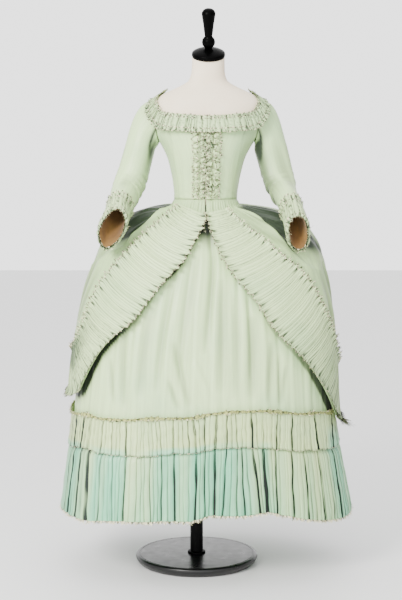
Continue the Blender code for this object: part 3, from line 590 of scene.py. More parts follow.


# The third column is painted shade, darkest in the groove at each fold
KNIFE_PLEAT = rows_of(
    PleatPoint,
    (0.0, 0.0, 1.0), (0.055, 0.05, 1.0), (0.085, 0.8, 1.0), (0.13, 1.0, 0.4), (0.25, 1.0),
    (0.42, 0.92), (0.62, 0.82), (0.8, 0.7), (0.91, 0.52, 0.4), (0.965, 0.22, 1.0),
)
OPEN_PLEAT = rows_of(
    PleatPoint,
    (0.0, -0.2, 1.0), (0.055, -0.1, 1.0), (0.085, 0.66, 0.7), (0.15, 0.98, 0.1), (0.3, 1.0),
    (0.46, 0.9), (0.62, 0.74), (0.8, 0.5), (0.9, 0.2, 0.15), (0.965, -0.08, 0.9),
)
SOFT_PLEAT = rows_of(
    PleatPoint,
    (0.0, 0.0, 1.0), (0.1, 0.62, 0.5), (0.24, 1.0), (0.46, 0.92), (0.7, 0.66, 0.1), (0.88, 0.3, 0.6),
)


# The folds at a pleat's two sides, as shares of its width, and its least height
FOLD_IN = 0.14
FOLD_OUT = 0.12
LOWEST_PLEAT = 0.7


class Pleats(NamedTuple):
    """Columns along a pleated strip.

    Attributes:
        places: Where each column lies along it, in the widths' unit.
        number: Which pleat it belongs to.
        fold: Which fold it is nearest to: fold 0 starts pleat 0, and fold 1 ends it.
        height: How high that pleat stands, from 0 to 1.
        rise: How high the cloth stands there within its pleat, for each of the sections given.
        furrow: How much shade is painted there, most in a pleat's groove, from 0 to 1, by the first section.
        share: How far across its pleat it lies, from 0 to 1.
    """

    places: Array
    number: Array
    fold: Array
    height: Array
    rise: list[Array]
    furrow: Array
    share: Array


def uneven_widths(count: int, seed: int, spread: float) -> Array:
    """Random widths that add up to 1 and differ by up to spread of their mean."""
    widths = np.random.default_rng(seed).uniform(1 - spread, 1 + spread, count)
    return widths / widths.sum()


def pleats(widths: Array, seed: int, *sections: Sequence[PleatPoint]) -> Pleats:
    """Lays out knife pleats of given widths, whose folds are all about as wide.

    Args:
        widths: The pleats' widths on the last axis.
        seed: Fixes their heights.
        sections: One or more sections with like shares.

    Returns:
        The columns of the strip.
    """
    count = widths.shape[-1]
    starts = np.cumsum(widths, axis=-1) - widths
    height = np.random.default_rng(seed).uniform(LOWEST_PLEAT, 1.0, count)
    shares = np.array([point.share for point in sections[0]])
    mean = widths.mean(axis=-1, keepdims=True)
    width_in = np.minimum(FOLD_IN * mean, 0.35 * widths)[..., None]
    width_out = np.minimum(FOLD_OUT * mean, 0.30 * widths)[..., None]
    middle = np.clip((shares - FOLD_IN) / (1 - FOLD_IN - FOLD_OUT), 0.0, 1.0)
    entering = np.minimum(shares, FOLD_IN) / FOLD_IN
    leaving = np.maximum(shares - (1 - FOLD_OUT), 0.0) / FOLD_OUT
    spare = widths[..., None] - width_in - width_out
    within = width_in * entering + spare * middle + width_out * leaving
    places = (starts[..., None] + within).reshape(*widths.shape[:-1], -1)
    places = np.concatenate([places, widths.sum(axis=-1, keepdims=True)], axis=-1)
    number = np.append(np.repeat(np.arange(count), len(shares)), count - 1)
    fold = np.append(np.repeat(np.arange(count), len(shares)) + np.tile(shares > 0.5, count), count)
    rise = [
        np.append(np.tile([point.rise for point in section], count), section[0].rise) for section in sections
    ]
    furrow = np.append(np.tile([point.furrow for point in sections[0]], count), sections[0][0].furrow)
    return Pleats(places, number, fold, height[number], rise, furrow, np.append(np.tile(shares, count), 1.0))


# Finishes


def linear(hex_colour: str) -> tuple[float, float, float, float]:
    """An sRGB colour such as "#dfe8d6" as linear red, green, blue and alpha.

    Args:
        hex_colour: The colour, with its hash sign.

    Returns:
        The four amounts, from 0 to 1.
    """
    parts = np.array([int(hex_colour[i:i + 2], 16) / 255 for i in (1, 3, 5)])
    low, high = parts / 12.92, ((parts + 0.055) / 1.055) ** 2.4
    return (*(float(value) for value in np.where(parts <= 0.04045, low, high)), 1.0)


def add_node(
    tree: Tree, kind: str, inputs: dict | None = None, stops: dict[float, str] | None = None, **settings
) -> bpy.types.Node:
    """Adds a shader node.

    Args:
        tree: The material's node tree.
        kind: The node's type.
        inputs: Values, or sockets to link from, by input name or number.
        stops: A colour ramp's hex colours by place.
        settings: The node's own properties.

    Returns:
        The node.
    """
    node = tree.nodes.new(kind)
    for name, value in settings.items():
        setattr(node, name, value)
    for name, value in (inputs or {}).items():
        if isinstance(value, bpy.types.NodeSocket):
            tree.links.new(value, node.inputs[name])
        else:
            node.inputs[name].default_value = value
    while stops and len(node.color_ramp.elements) < len(stops):
        node.color_ramp.elements.new(0.5)
    for index, (place, colour) in enumerate(sorted((stops or {}).items())):
        node.color_ramp.elements[index].position = place
        node.color_ramp.elements[index].color = linear(colour)
    return node


def new_material(name: str) -> tuple[bpy.types.Material, Tree, bpy.types.Node]:
    """An empty node material, its node tree and its Principled shader.

    Args:
        name: The material's name.

    Returns:
        The material, its node tree and the shader's node.
    """
    material = bpy.data.materials.new(name)
    material.use_nodes = True
    tree = material.node_tree
    return material, tree, tree.nodes["Principled BSDF"]


@dataclass(frozen=True)
class Taffeta:
    """Silk taffeta: a crisp plain weave, so it has a soft broad gloss, fine cross ribs and faint slubs.

    Attributes:
        name: The material's name.
        light: The colour of most of it.
        faded: The colour of its cooler patches.
        soiled: The colour of the few yellowed spots.
        furrow: The colour of the shade painted in folds and hollows, where light neither reaches nor fades
            the silk.
        bleached: The colour of the pleats that have faded most.
        rib: The spacing of the cross ribs in metres, drawn coarser than the real 0.3 mm to show.
        clouds: Patches of fading to a metre, each about 200 mm.
        slubs: Streaks to a metre across and along the cloth, each about 6 mm by 170 mm.
        gloss: The roughness of the surface.
        streak: How strongly fine streaks along the cloth darken it: slubs, and where raised, painted shade of
            fine pleat lines.
    """

    name: str
    light: str
    faded: str
    soiled: str
    furrow: str = "#4d6650"
    bleached: str = "#cfd8c0"
    rib: float = 0.0012
    clouds: float = 5.0
    slubs: tuple[float, float] = (160.0, 6.0)
    gloss: float = 0.42
    streak: float = 0.07

    def material(self) -> bpy.types.Material:
        """Mottled colour from object noise, painted shade in folds and hollows, ribs and slubs from the
        cloth's own cut.

        Returns:
            The material.
        """
        material, tree, shader = new_material(self.name)
        place = add_node(tree, "ShaderNodeTexCoord").outputs["Object"]
        cut = add_node(tree, "ShaderNodeUVMap", uv_map="cut").outputs["UV"]
        fade = add_node(tree, "ShaderNodeTexNoise", {"Vector": place, "Scale": self.clouds, "Detail": 4.0})
        tone = add_node(
            tree, "ShaderNodeValToRGB", {"Fac": fade.outputs["Fac"]},
            {0.34: self.faded, 0.52: self.light, 0.74: self.light, 0.90: self.soiled},
        ).outputs["Color"]
        streaks = add_node(tree, "ShaderNodeMapping", {"Vector": cut, "Scale": (*self.slubs, 1.0)})
        slub = add_node(
            tree, "ShaderNodeTexNoise", {"Vector": streaks.outputs["Vector"], "Scale": 1.0, "Detail": 2.0}
        ).outputs["Fac"]
        shade = add_node(
            tree, "ShaderNodeMapRange",
            {"Value": slub, "From Min": 0.32, "From Max": 0.62, "To Min": 1 - self.streak, "To Max": 1.03},
        ).outputs["Result"]
        colour = add_node(
            tree, "ShaderNodeMix", {"Factor": 1.0, 6: tone, 7: shade}, data_type="RGBA", blend_type="MULTIPLY"
        )
        # bleach mixes in the silk's real fading, and the other amount mixes in the colour of painted shade
        for paint, shade_colour in (("bleach", self.bleached), ("furrow", self.furrow)):
            amount = add_node(tree, "ShaderNodeAttribute", attribute_name=paint).outputs["Fac"]
            colour = add_node(
                tree, "ShaderNodeMix", {"Factor": amount, 6: colour.outputs[2], 7: linear(shade_colour)},
                data_type="RGBA",
            )
        ribs = add_node(
            tree, "ShaderNodeTexWave", {"Vector": cut, "Scale": 1 / (self.rib * 20), "Distortion": 0.6},
            bands_direction="Y",
        ).outputs["Fac"]
        weave = add_node(tree, "ShaderNodeMath", {0: ribs, 1: slub}, operation="ADD").outputs[0]
        bump = add_node(tree, "ShaderNodeBump", {"Height": weave, "Strength": 0.12, "Distance": 0.0006})
        tree.links.new(colour.outputs[2], shader.inputs["Base Color"])
        tree.links.new(bump.outputs["Normal"], shader.inputs["Normal"])
        shader.inputs["Roughness"].default_value = self.gloss
        shader.inputs["Specular IOR Level"].default_value = 0.42
        shader.inputs["Sheen Weight"].default_value = 0.12
        shader.inputs["Sheen Roughness"].default_value = 0.5
        return material


@dataclass(frozen=True)
class Fray:
    """Pulled silk threads: matt and uneven, from pale straw to the green of the cloth."""

    name: str
    pale: str
    dark: str

    def material(self) -> bpy.types.Material:
        """Each thread takes its tint from the attribute that its maker wrote.

        Returns:
            The material.
        """
        material, tree, shader = new_material(self.name)
        tint = add_node(tree, "ShaderNodeAttribute", attribute_name="tint").outputs["Fac"]
        tone = add_node(tree, "ShaderNodeValToRGB", {"Fac": tint}, {0.0: self.dark, 0.75: self.pale})
        tree.links.new(tone.outputs["Color"], shader.inputs["Base Color"])
        shader.inputs["Roughness"].default_value = 0.7
        shader.inputs["Specular IOR Level"].default_value = 0.3
        return material


@dataclass(frozen=True)
class Linen:
    """Plain-woven linen or cotton: matt, with a fine square weave and soft cloudy toning.

    Its thread spacing is drawn coarser than the real 0.5 mm to show, and its clouds are about 110 mm each.
    """

    name: str
    light: str
    dark: str
    thread: float = 0.0014
    clouds: float = 9.0
    sheen: float = 0.1

    def material(self) -> bpy.types.Material:
        """Two crossed waves make the weave, and object noise the clouds.

        Returns:
            The material.
        """
        material, tree, shader = new_material(self.name)
        place = add_node(tree, "ShaderNodeTexCoord").outputs["Object"]
        cloud = add_node(tree, "ShaderNodeTexNoise", {"Vector": place, "Scale": self.clouds, "Detail": 5.0})
        tone = add_node(
            tree, "ShaderNodeValToRGB", {"Fac": cloud.outputs["Fac"]}, {0.32: self.dark, 0.68: self.light}
        )
        scale = 1 / (self.thread * 20)
        warp = add_node(tree, "ShaderNodeTexWave", {"Vector": place, "Scale": scale}, bands_direction="X")
        weft = add_node(tree, "ShaderNodeTexWave", {"Vector": place, "Scale": scale}, bands_direction="Z")
        weave = add_node(
            tree, "ShaderNodeMath", {0: warp.outputs["Fac"], 1: weft.outputs["Fac"]}, operation="ADD"
        ).outputs[0]
        bump = add_node(tree, "ShaderNodeBump", {"Height": weave, "Strength": 0.1, "Distance": 0.0004})
        tree.links.new(tone.outputs["Color"], shader.inputs["Base Color"])
        tree.links.new(bump.outputs["Normal"], shader.inputs["Normal"])
        shader.inputs["Roughness"].default_value = 0.85
        shader.inputs["Sheen Weight"].default_value = self.sheen
        return material


@dataclass(frozen=True)
class Lacquer:
    """Black lacquer or enamel: near-black with a clear gloss, and faint dust in its roughness.

    The dust lies in clouds of about 30 mm.
    """

    name: str
    colour: str
    gloss: float
    shine: float
    clouds: float = 35.0

    def material(self) -> bpy.types.Material:
        """A dark gloss, its roughness clouded by noise.

        Returns:
            The material.
        """
        material, tree, shader = new_material(self.name)
        place = add_node(tree, "ShaderNodeTexCoord").outputs["Object"]
        dust = add_node(
            tree, "ShaderNodeTexNoise", {"Vector": place, "Scale": self.clouds, "Detail": 6.0}
        ).outputs["Fac"]
        low, high = self.gloss - 0.04, self.gloss + 0.06
        rough = add_node(
            tree, "ShaderNodeMapRange",
            {"Value": dust, "From Min": 0.3, "From Max": 0.7, "To Min": low, "To Max": high},
        )
        grain = add_node(tree, "ShaderNodeBump", {"Height": dust, "Strength": 0.04, "Distance": 0.0005})
        tree.links.new(rough.outputs["Result"], shader.inputs["Roughness"])
        tree.links.new(grain.outputs["Normal"], shader.inputs["Normal"])
        shader.inputs["Base Color"].default_value = linear(self.colour)
        shader.inputs["Specular IOR Level"].default_value = self.shine
        return material


class Finish(NamedTuple):
    """A material and the name of the slot that it belongs to."""

    material: bpy.types.Material
    slot: str


# The gown's own silk, its painted shade in the folds grey-green
PALE_SILK = Finish(
    Taffeta("pale silk taffeta", "#cbe7a8", "#bddea4", "#d0da90", "#2a3428").material(), "pale_silk"
)
# The upper tier: yellower, with streaks of painted shade for fine pleat lines, and turquoise where it has
# faded least
TIER_SILK = Finish(
    Taffeta(
        "faded silk taffeta", "#cbe09e", "#bfd99e", "#cecd84", "#0c2014", "#93d2ac", streak=0.20
    ).material(), "pale_silk",
)
# The lower tier: still turquoise, bleached pleat by pleat to the gown's pale green, with streaks of painted
# shade for fine pleat lines
TURQUOISE_SILK = Finish(
    Taffeta(
        "turquoise silk taffeta", "#7ecba2", "#92d4aa", "#a2cf98", "#041a10", "#c6dc9e", streak=0.22
    ).material(), "turquoise_silk",
)
# The petticoat: the same silk, nearly black in the shadow below the overskirt
PETTICOAT_SILK = Finish(
    Taffeta("petticoat silk taffeta", "#cbe7a8", "#bddea4", "#d0da90", "#14200f").material(), "pale_silk"
)
# The overskirt: a little darker than the gown's silk, its painted shade grey-green
OVERSKIRT_SILK = Finish(
    Taffeta("overskirt silk taffeta", "#c2df9e", "#b4d496", "#c8d288", "#2c3729").material(), "pale_silk"
)
# The pleated trims: the palest silk, with olive shade painted between its pleats
BAND_SILK = Finish(
    Taffeta("pleated silk trim", "#d0e8aa", "#c2dea2", "#d4d88c", "#3c5032").material(), "trim_silk"
)
# The flounce's heading: yellowed and browned by its stitching
HEADING_SILK = Finish(
    Taffeta("yellowed silk trim", "#c2c878", "#aab468", "#a4944a", "#3a4020").material(), "trim_silk"
)
# Threads from straw to dark green
FRAYED_SILK = Finish(Fray("frayed silk thread", "#ece6c0", "#36412a").material(), "trim_silk")
# A warm brown that darkens into the sleeve
LINING = Finish(Linen("brown linen lining", "#8c6c34", "#62421c").material(), "brown_lining")
# A smooth cream cover
FORM_COVER = Finish(Linen("cream cotton cover", "#f6e8d0", "#f0dfc4").material(), "cream_form_cover")
# Black turned wood with a soft highlight, and two blacks of steel: glossy for the foot, satin for the pole
BLACK_WOOD = Finish(Lacquer("black lacquered wood", "#020202", 0.32, 0.03).material(), "black_turned_wood")
FOOT_STEEL = Finish(Lacquer("black enamelled steel", "#060607", 0.30, 0.50).material(), "black_metal")
POLE_STEEL = Finish(Lacquer("satin black steel tube", "#040405", 0.45, 0.08).material(), "black_metal")


# Meshes


def new_object(name: str, mesh: bpy.types.Mesh, finish: Finish, replaces: Sequence[str]) -> Piece:
    """Puts a mesh in the scene, rides it on the only body and gives it its finish.

    Args:
        name: The piece's name.
        mesh: Its shape.
        finish: Its material and slot.
        replaces: The solids it stands for.

    Returns:
        The piece.
    """
    mesh.materials.append(finish.material)
    mesh.shade_smooth()
    piece = bpy.data.objects.new(name, mesh)
    bpy.context.scene.collection.objects.link(piece)
    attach(piece, "root")
    if replaces:
        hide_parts(*replaces)
    log.info("%s: %d faces", name, len(mesh.polygons))
    return piece


def cloth_mesh(
    name: str, patch: Patch, closed: bool, kept: Array | None, paint: dict[str, Array | float]
) -> bpy.types.Mesh:
    """A grid of points as faces that look outwards, with the cut's own metres as its UV map.

    Args:
        name: The mesh's name.
        patch: The grid and its outward normals.
        closed: Whether the last column joins the first.
        kept: Which cells have cloth, or None for all.
        paint: Amounts at the grid's points, by attribute name.

    Returns:
        The mesh.
    """
    points, normals = patch
    if closed:
        points = np.concatenate([points, points[:, :1]], axis=1)
    rows, columns = points.shape[:2]
    number = np.arange(rows * columns).reshape(rows, columns)
    corners = np.stack([number[:-1, :-1], number[1:, :-1], number[1:, 1:], number[:-1, 1:]], axis=-1)
    cells = corners.reshape(-1, 4) if kept is None else corners[kept]
    flat = points.reshape(-1, 3)
    middle = cells[len(cells) // 2]
    face_normal = np.cross(flat[middle[1]] - flat[middle[0]], flat[middle[2]] - flat[middle[0]])
    near = np.abs(patch.points.reshape(-1, 3) - flat[middle[0]]).sum(axis=1).argmin()
    if face_normal @ normals.reshape(-1, 3)[near] < 0:
        cells = cells[:, ::-1]
    across = arc(points, 1).mean(axis=0)
    down = arc(points, 0).mean(axis=1)
    cut = np.stack(np.meshgrid(across, down), axis=-1).reshape(-1, 2)
    if closed:
        weld = number.copy()
        weld[:, -1] = number[:, 0]
        vertex_of = weld.ravel()
    else:
        vertex_of = number.ravel()
    used, renumbered = np.unique(vertex_of[cells], return_inverse=True)
    faces = renumbered.reshape(cells.shape)
    mesh = bpy.data.meshes.new(name)
    mesh.vertices.add(len(used))
    mesh.vertices.foreach_set("co", flat[used].astype(np.float32).ravel())
    mesh.loops.add(faces.size)
    mesh.loops.foreach_set("vertex_index", faces.astype(np.int32).ravel())
    mesh.polygons.add(len(faces))
    mesh.polygons.foreach_set("loop_start", np.arange(0, faces.size, 4, dtype=np.int32))
    mesh.update(calc_edges=True)
    layer = mesh.uv_layers.new(name="cut")
    layer.uv.foreach_set("vector", cut[cells.ravel()].astype(np.float32).ravel())
    for label, amount in paint.items():
        grid = np.broadcast_to(amount, patch.points.shape[:2])
        grid = np.concatenate([grid, grid[:, :1]], axis=1) if closed else grid
        layer = mesh.attributes.new(label, "FLOAT", "POINT")
        layer.data.foreach_set("value", np.clip(grid, 0.0, 1.0).ravel()[used].astype(np.float32))
    mesh.validate()
    return mesh


def lay_cloth(
    name: str,
    patch: Patch,
    finish: Finish,
    replaces: Sequence[str],
    hold: Hold,
    rests_on: Sequence[str],
    trims: Sequence[Piece] = (),
    closed: bool = False,
    kept: Array | None = None,
    **paint: Array | float,
) -> Piece:
    """Args:
        name: The piece's name.
        patch: Its outer surface.
        finish: Its material and slot.
        replaces: The solids it stands for.
        hold: How it is held; not used.
        rests_on: What carries it; not used.
        trims: Separate pieces sewn on it; not used.
        closed: Whether it is a tube.
        kept: Which cells of the grid have cloth.
        paint: the amounts that its silk reads, of painted shade and of bleaching.

    Returns:
        The piece.
    """
    piece = new_object(name, cloth_mesh(name, patch, closed, kept, paint), finish, replaces)
    wall = piece.modifiers.new("thickness", "SOLIDIFY")
    wall.thickness = SILK
    wall.offset = -1.0
    wall.use_even_offset = False
    points = np.concatenate([patch.points, patch.points[:, :1]], axis=1) if closed else patch.points
    diagonal = np.cross(points[1:, 1:] - points[:-1, :-1], points[1:, :-1] - points[:-1, 1:])
    cells = np.linalg.norm(diagonal, axis=-1) / 2
    area = float(cells.sum() if kept is None else cells[kept].sum())
    width, length = float(arc(points, 1)[:, -1].max()), float(arc(points, 0)[-1].max())
    area = min(max(area, 0.32 * width * length), width * length)
    log.info("%s: cut %.2f x %.2f m, %.3f square metres", name, width, length, area)
    return piece


def turned_rings(profile: Array, sides: int) -> Array:
    """A ring of points round +Z for each (radius, height) of a profile: the radius times cosine and sine.

    Args:
        profile: The (radius, height) points, the lowest first.
        sides: How many points a ring has.

    Returns:
        The rings.
    """
    angle = np.linspace(0.0, math.tau, sides, endpoint=False)
    rings = np.empty((len(profile), sides, 3))
    rings[..., :2] = profile[:, :1, None] * np.stack([np.cos(angle), np.sin(angle)], axis=-1)
    rings[..., 2] = profile[:, 1:]
    return rings


def closed_body(
    name: str, loops: Array, ends: Array, finish: Finish, replaces: Sequence[str], tilt: float = 0.0,
    base: Sequence[float] = (0.0, 0.0, 0.0), sharp: float = 35.0,
) -> Piece:
    """A stack of rings, the lowest first, closed by a fan of triangles at each end.

    Args:
        name: The piece's name.
        loops: Rings of points, anticlockwise from above.
        ends: The heights of the two closing points, over the middles of their rings.
        finish: Its material and slot.
        replaces: The solids it stands for.
        tilt: A turn about the x axis, in radians, made before the move to base.
        base: Where the piece's own origin goes.
        sharp: Edges over this many degrees stay sharp.

    Returns:
        The piece.
    """
    count, sides = loops.shape[:2]
    number = np.arange(count * sides).reshape(count, sides)
    after = np.roll(number, -1, axis=1)
    walls = np.stack([number[:-1], after[:-1], after[1:], number[1:]], axis=-1).reshape(-1, 4)
    foot, top = count * sides, count * sides + 1
    foot_fan = np.stack([after[0], number[0], np.full(sides, foot)], axis=-1)
    top_fan = np.stack([number[-1], after[-1], np.full(sides, top)], axis=-1)
    closing = np.stack([loops[0].mean(axis=0), loops[-1].mean(axis=0)])
    closing[:, 2] = ends
    points = np.concatenate([loops.reshape(-1, 3), closing])
    turned = points.copy()
    turned[:, 1] = points[:, 1] * math.cos(tilt) - points[:, 2] * math.sin(tilt)
    turned[:, 2] = points[:, 1] * math.sin(tilt) + points[:, 2] * math.cos(tilt)
    turned += np.asarray(base)
    mesh = bpy.data.meshes.new(name)
    mesh.from_pydata(turned.tolist(), [], walls.tolist() + foot_fan.tolist() + top_fan.tolist())
    piece = new_object(name, mesh, finish, replaces)
    mesh.set_sharp_from_angle(angle=math.radians(sharp))
    return piece


@dataclass(frozen=True)
class Edge:
    """A frayed edge.

    Attributes:
        line: Points along the edge.
        out: Unit directions away from the cloth, within it.
        normals: Unit directions out of the cloth.
    """

    line: Array
    out: Array
    normals: Array

    @classmethod
    def of(cls, patch: Patch, row: int) -> "Edge":
        """A row of a patch, its outward direction away from the row after it, or before the last.

        Args:
            patch: The cloth.
            row: 0 for the first row, -1 for the last, or a row between where threads stand up.

        Returns:
            The edge there.
        """
        inner = -2 if row == -1 else row + 1
        out = patch.points[row] - patch.points[inner]
        out = out / np.maximum(np.linalg.norm(out, axis=-1, keepdims=True), 1e-9)
        return cls(patch.points[row], out, patch.normals[row])


class Fringe(NamedTuple):
    """How an edge is frayed: its longest thread, threads to a metre, and their tone, below 0 for darker."""

    length: float
    per_metre: float
    tone: float = 0.0


RUCHE_FRINGE = Fringe(0.0080, 1300, -0.1)
FRILL_FRINGE = Fringe(0.0062, 1500, -0.12)
CUFF_FRINGE = Fringe(0.0058, 1500, -0.10)
LINING_FRINGE = Fringe(0.005, 1600)
HEADING_FRINGE = Fringe(0.0070, 700, -0.15)
TIER_FRINGE = Fringe(0.0030, 350)
HEM_FRINGE = Fringe(0.0120, 1900, 0.1)
BAND_FRINGE = Fringe(0.0080, 1500, -0.15)
TAIL_FRINGE = Fringe(0.022, 4200, -0.65)
# The opening's threads are drawn near black: painted shade of the slit
OPENING_FRINGE = Fringe(0.0070, 1500, -0.75)


def fringe(name: str, edges: Sequence[Edge], kind: Fringe, seed: int) -> Piece:
    """Frayed threads along edges: each is a thin bent ribbon of two quads, longer where they bunch in tufts.

    Most are single threads. Some are bundles that still hold together, and wider.

    Args:
        name: The piece's name.
        edges: The edges that are frayed.
        kind: How they are frayed.
        seed: Fixes the threads' random lengths and leans.

    Returns:
        The piece, one mesh of all the threads.
    """
    random = np.random.default_rng(seed)
    blades, tints = [], []
    for edge in edges:
        way = arc(edge.line, 0)
        count = max(int(way[-1] * kind.per_metre), 4)
        at = np.sort(random.uniform(0.0, way[-1], count))
        root, out, normal = (
            np.stack([np.interp(at, way, values[:, axis]) for axis in range(3)], axis=-1)
            for values in (edge.line, edge.out, edge.normals)
        )
        along = np.cross(out, normal)
        tuft = 0.5 + 0.6 * waves(at, 0.023, seed + 1)
        clump = waves(at, 0.014, seed + 2)
        reach = kind.length * (0.20 + 0.80 * np.clip(tuft, 0.0, 1.2)) * random.uniform(0.35, 1.1, count)
        lean = random.normal(0.0, 0.45, (count, 1))
        stand = random.normal(0.35, 0.45, (count, 1))
        first = out + along * lean + normal * stand
        second = out + along * (lean + random.normal(0.0, 0.5, (count, 1))) + normal * (stand - 0.35)
        middle = root + first * reach[:, None] * 0.5
        tip = middle + second * reach[:, None] * 0.5
        bundle = random.uniform(0.0, 1.0, (count, 1)) ** 3
        half = along * (0.00025 + 0.0014 * bundle)
        start = root - out * 0.001
        pairs = ((start, half), (middle, half), (tip, half / 3))
        blades.append(np.stack([place + sign * wide for place, wide in pairs for sign in (-1, 1)], axis=1))
        shade = np.clip(0.5 + kind.tone + 0.9 * clump + random.uniform(-0.3, 0.3, count), 0.0, 1.0)
        tints.append((shade[:, None] * np.array([0.6, 0.6, 0.9, 0.9, 1.2, 1.2])).ravel())
    points = np.concatenate(blades).reshape(-1, 3)
    first = np.arange(0, len(points), 6)[:, None]
    faces = np.concatenate([first + [0, 1, 3, 2], first + [2, 3, 5, 4]])
    mesh = bpy.data.meshes.new(name)
    mesh.from_pydata(points.tolist(), [], faces.tolist())
    tint = mesh.attributes.new("tint", "FLOAT", "POINT")
    tint.data.foreach_set("value", np.clip(np.concatenate(tints), 0.0, 1.0).astype(np.float32))
    return new_object(name, mesh, FRAYED_SILK, ())


@dataclass(frozen=True)
class Strip:
    """A pleated trim: a strip of silk, sewn down along lines near its edges.

    Attributes:
        at: Gives points from a share along the strip, a share across it and a lift.
        count: How many pleats.
        depth: How high they stand, in metres.
        length: The strip's length in metres.
        seed: Fixes the uneven widths.
        seat: How far the strip lies above its surface, across the strip at the places of across.
        swell: The pleats' height there, as a share of depth.
        flare: How far the strip's waves stand out there, in metres.
        across: Places across the strip, from 0 to 1.
        scallop: How far the edges waver, as a share of the strip's width.
        gap: How far the gaps between the edge's ruffles, with shade painted in them, reach in, as a share of
            its width.
        rows: How many rows of points.
        gloom: How much shade is painted in the grooves between the pleats, from 0 to 1.
        spread: How far the pleats' widths differ, as a share of their mean.
        tangle: How many hollows its ruffles have, with shade painted in them, at even places along the strip.
        accent: How much more shade is painted in some of its grooves, at even places along the strip.
        shade: How much shade is painted over the whole strip, at even places along it.
        heading_shade: How much shade is painted on the half towards its heading, at even places along it.
    """

    at: Callable[[Array, Array, Array], Patch]
    count: int
    depth: float
    length: float
    seed: int
    seat: tuple[float, ...]
    swell: tuple[float, ...]
    flare: tuple[float, ...]
    across: tuple[float, ...]
    scallop: float = 0.05
    gap: float = 0.12
    rows: int = 17
    gloom: float = 0.6
    spread: float = 0.35
    tangle: tuple[float, ...] = (0.0, 0.0)
    accent: tuple[float, ...] = (0.0, 0.0)
    shade: tuple[float, ...] = (0.0, 0.0)
    heading_shade: tuple[float, ...] = (0.0, 0.0)

    def patch(self) -> tuple[Patch, Array]:
        """The pleated strip, its rows closer together towards its edges.

        Returns:
            Its outer surface, and how furrowed it is at each grid point.
        """
        layout = pleats(uneven_widths(self.count, self.seed, self.spread), self.seed, SOFT_PLEAT)
        places = layout.places
        tangle, accent, shade, heading_shade = (
            curve(places, np.linspace(0.0, 1.0, len(values)), values)
            for values in (self.tangle, self.accent, self.shade, self.heading_shade)
        )
        inside = smooth_step(places, 0.0, 0.01) * smooth_step(1 - places, 0.0, 0.01)
        rise = layout.rise[0] * layout.height * inside + 0.8 * (1 - inside)
        share = 0.5 - 0.5 * np.cos(np.linspace(0.0, math.pi, self.rows))
        share = (0.4 * share + 0.6 * np.linspace(0.0, 1.0, self.rows))[:, None]
        random = np.random.default_rng(self.seed + 100)
        uneven = random.uniform(0.55, 1.25, self.count)[layout.number]
        seat = curve(share, self.across, self.seat)
        swell = curve(share, self.across, self.swell)
        flare = curve(share, self.across, self.flare)
        way = places * self.length
        top = waves(way, 0.018, self.seed + 1)
        foot = waves(way, 0.018, self.seed + 2)
        ruffle = np.where(share < 0.5, foot, top)
        lift = seat + self.depth * swell * (rise * uneven)[None, :] + flare * (0.5 + 0.5 * ruffle)
        waver = self.scallop * (share * (0.4 + 0.6 * top) * smooth_step(share, 0.6, 1.0))
        waver = waver - self.scallop * ((1 - share) * (0.4 + 0.6 * foot) * smooth_step(1 - share, 0.6, 1.0))
        drift = waves(share * 0.1 + layout.number * 0.013, 0.05, self.seed + 3) * 0.12 / self.count
        drift = drift * smooth_step(places, 0.0, 0.02) * smooth_step(1 - places, 0.0, 0.02)
        along = np.clip(places[None, :] + drift, 0.0, 1.0)
        strength = 0.35 + 0.65 * random.uniform(0.0, 1.0, self.count)[layout.number]
        # Painted shade: in the gaps under the edges' ruffles, in the grooves between pleats, in the tangles'
        # hollows, over the strip and on its heading half
        low_gap = np.exp(-((share / self.gap) ** 2)) * np.clip(-0.15 - foot, 0.0, 1.0)
        high_gap = np.exp(-(((1 - share) / self.gap) ** 2)) * np.clip(-0.15 - top, 0.0, 1.0)
        picked = random.uniform(0.0, 1.0, self.count + 1)[layout.fold] > 0.70
        fickle = 0.6 + 0.4 * waves(share * 0.12 + layout.fold * 0.07, 0.11, self.seed + 6)
        strength = strength + accent * picked * fickle
        knots = waves(way + 0.030 * share, 0.0150, self.seed + 7)
        knots = knots * waves(way * 0.6 - 0.07 * share, 0.0125, self.seed + 8)
        hollows = tangle * smooth_step(knots, 0.10, 0.50)
        furrow = self.gloom * layout.furrow * strength * inside + 1.9 * (low_gap + high_gap) + hollows + shade
        furrow = furrow + heading_shade * smooth_step(share, 0.35, 0.75) * (0.75 + 0.25 * top)
        return self.at(along, share + waver, lift - 0.0035 * hollows), furrow


# The parts of the robe and its stand


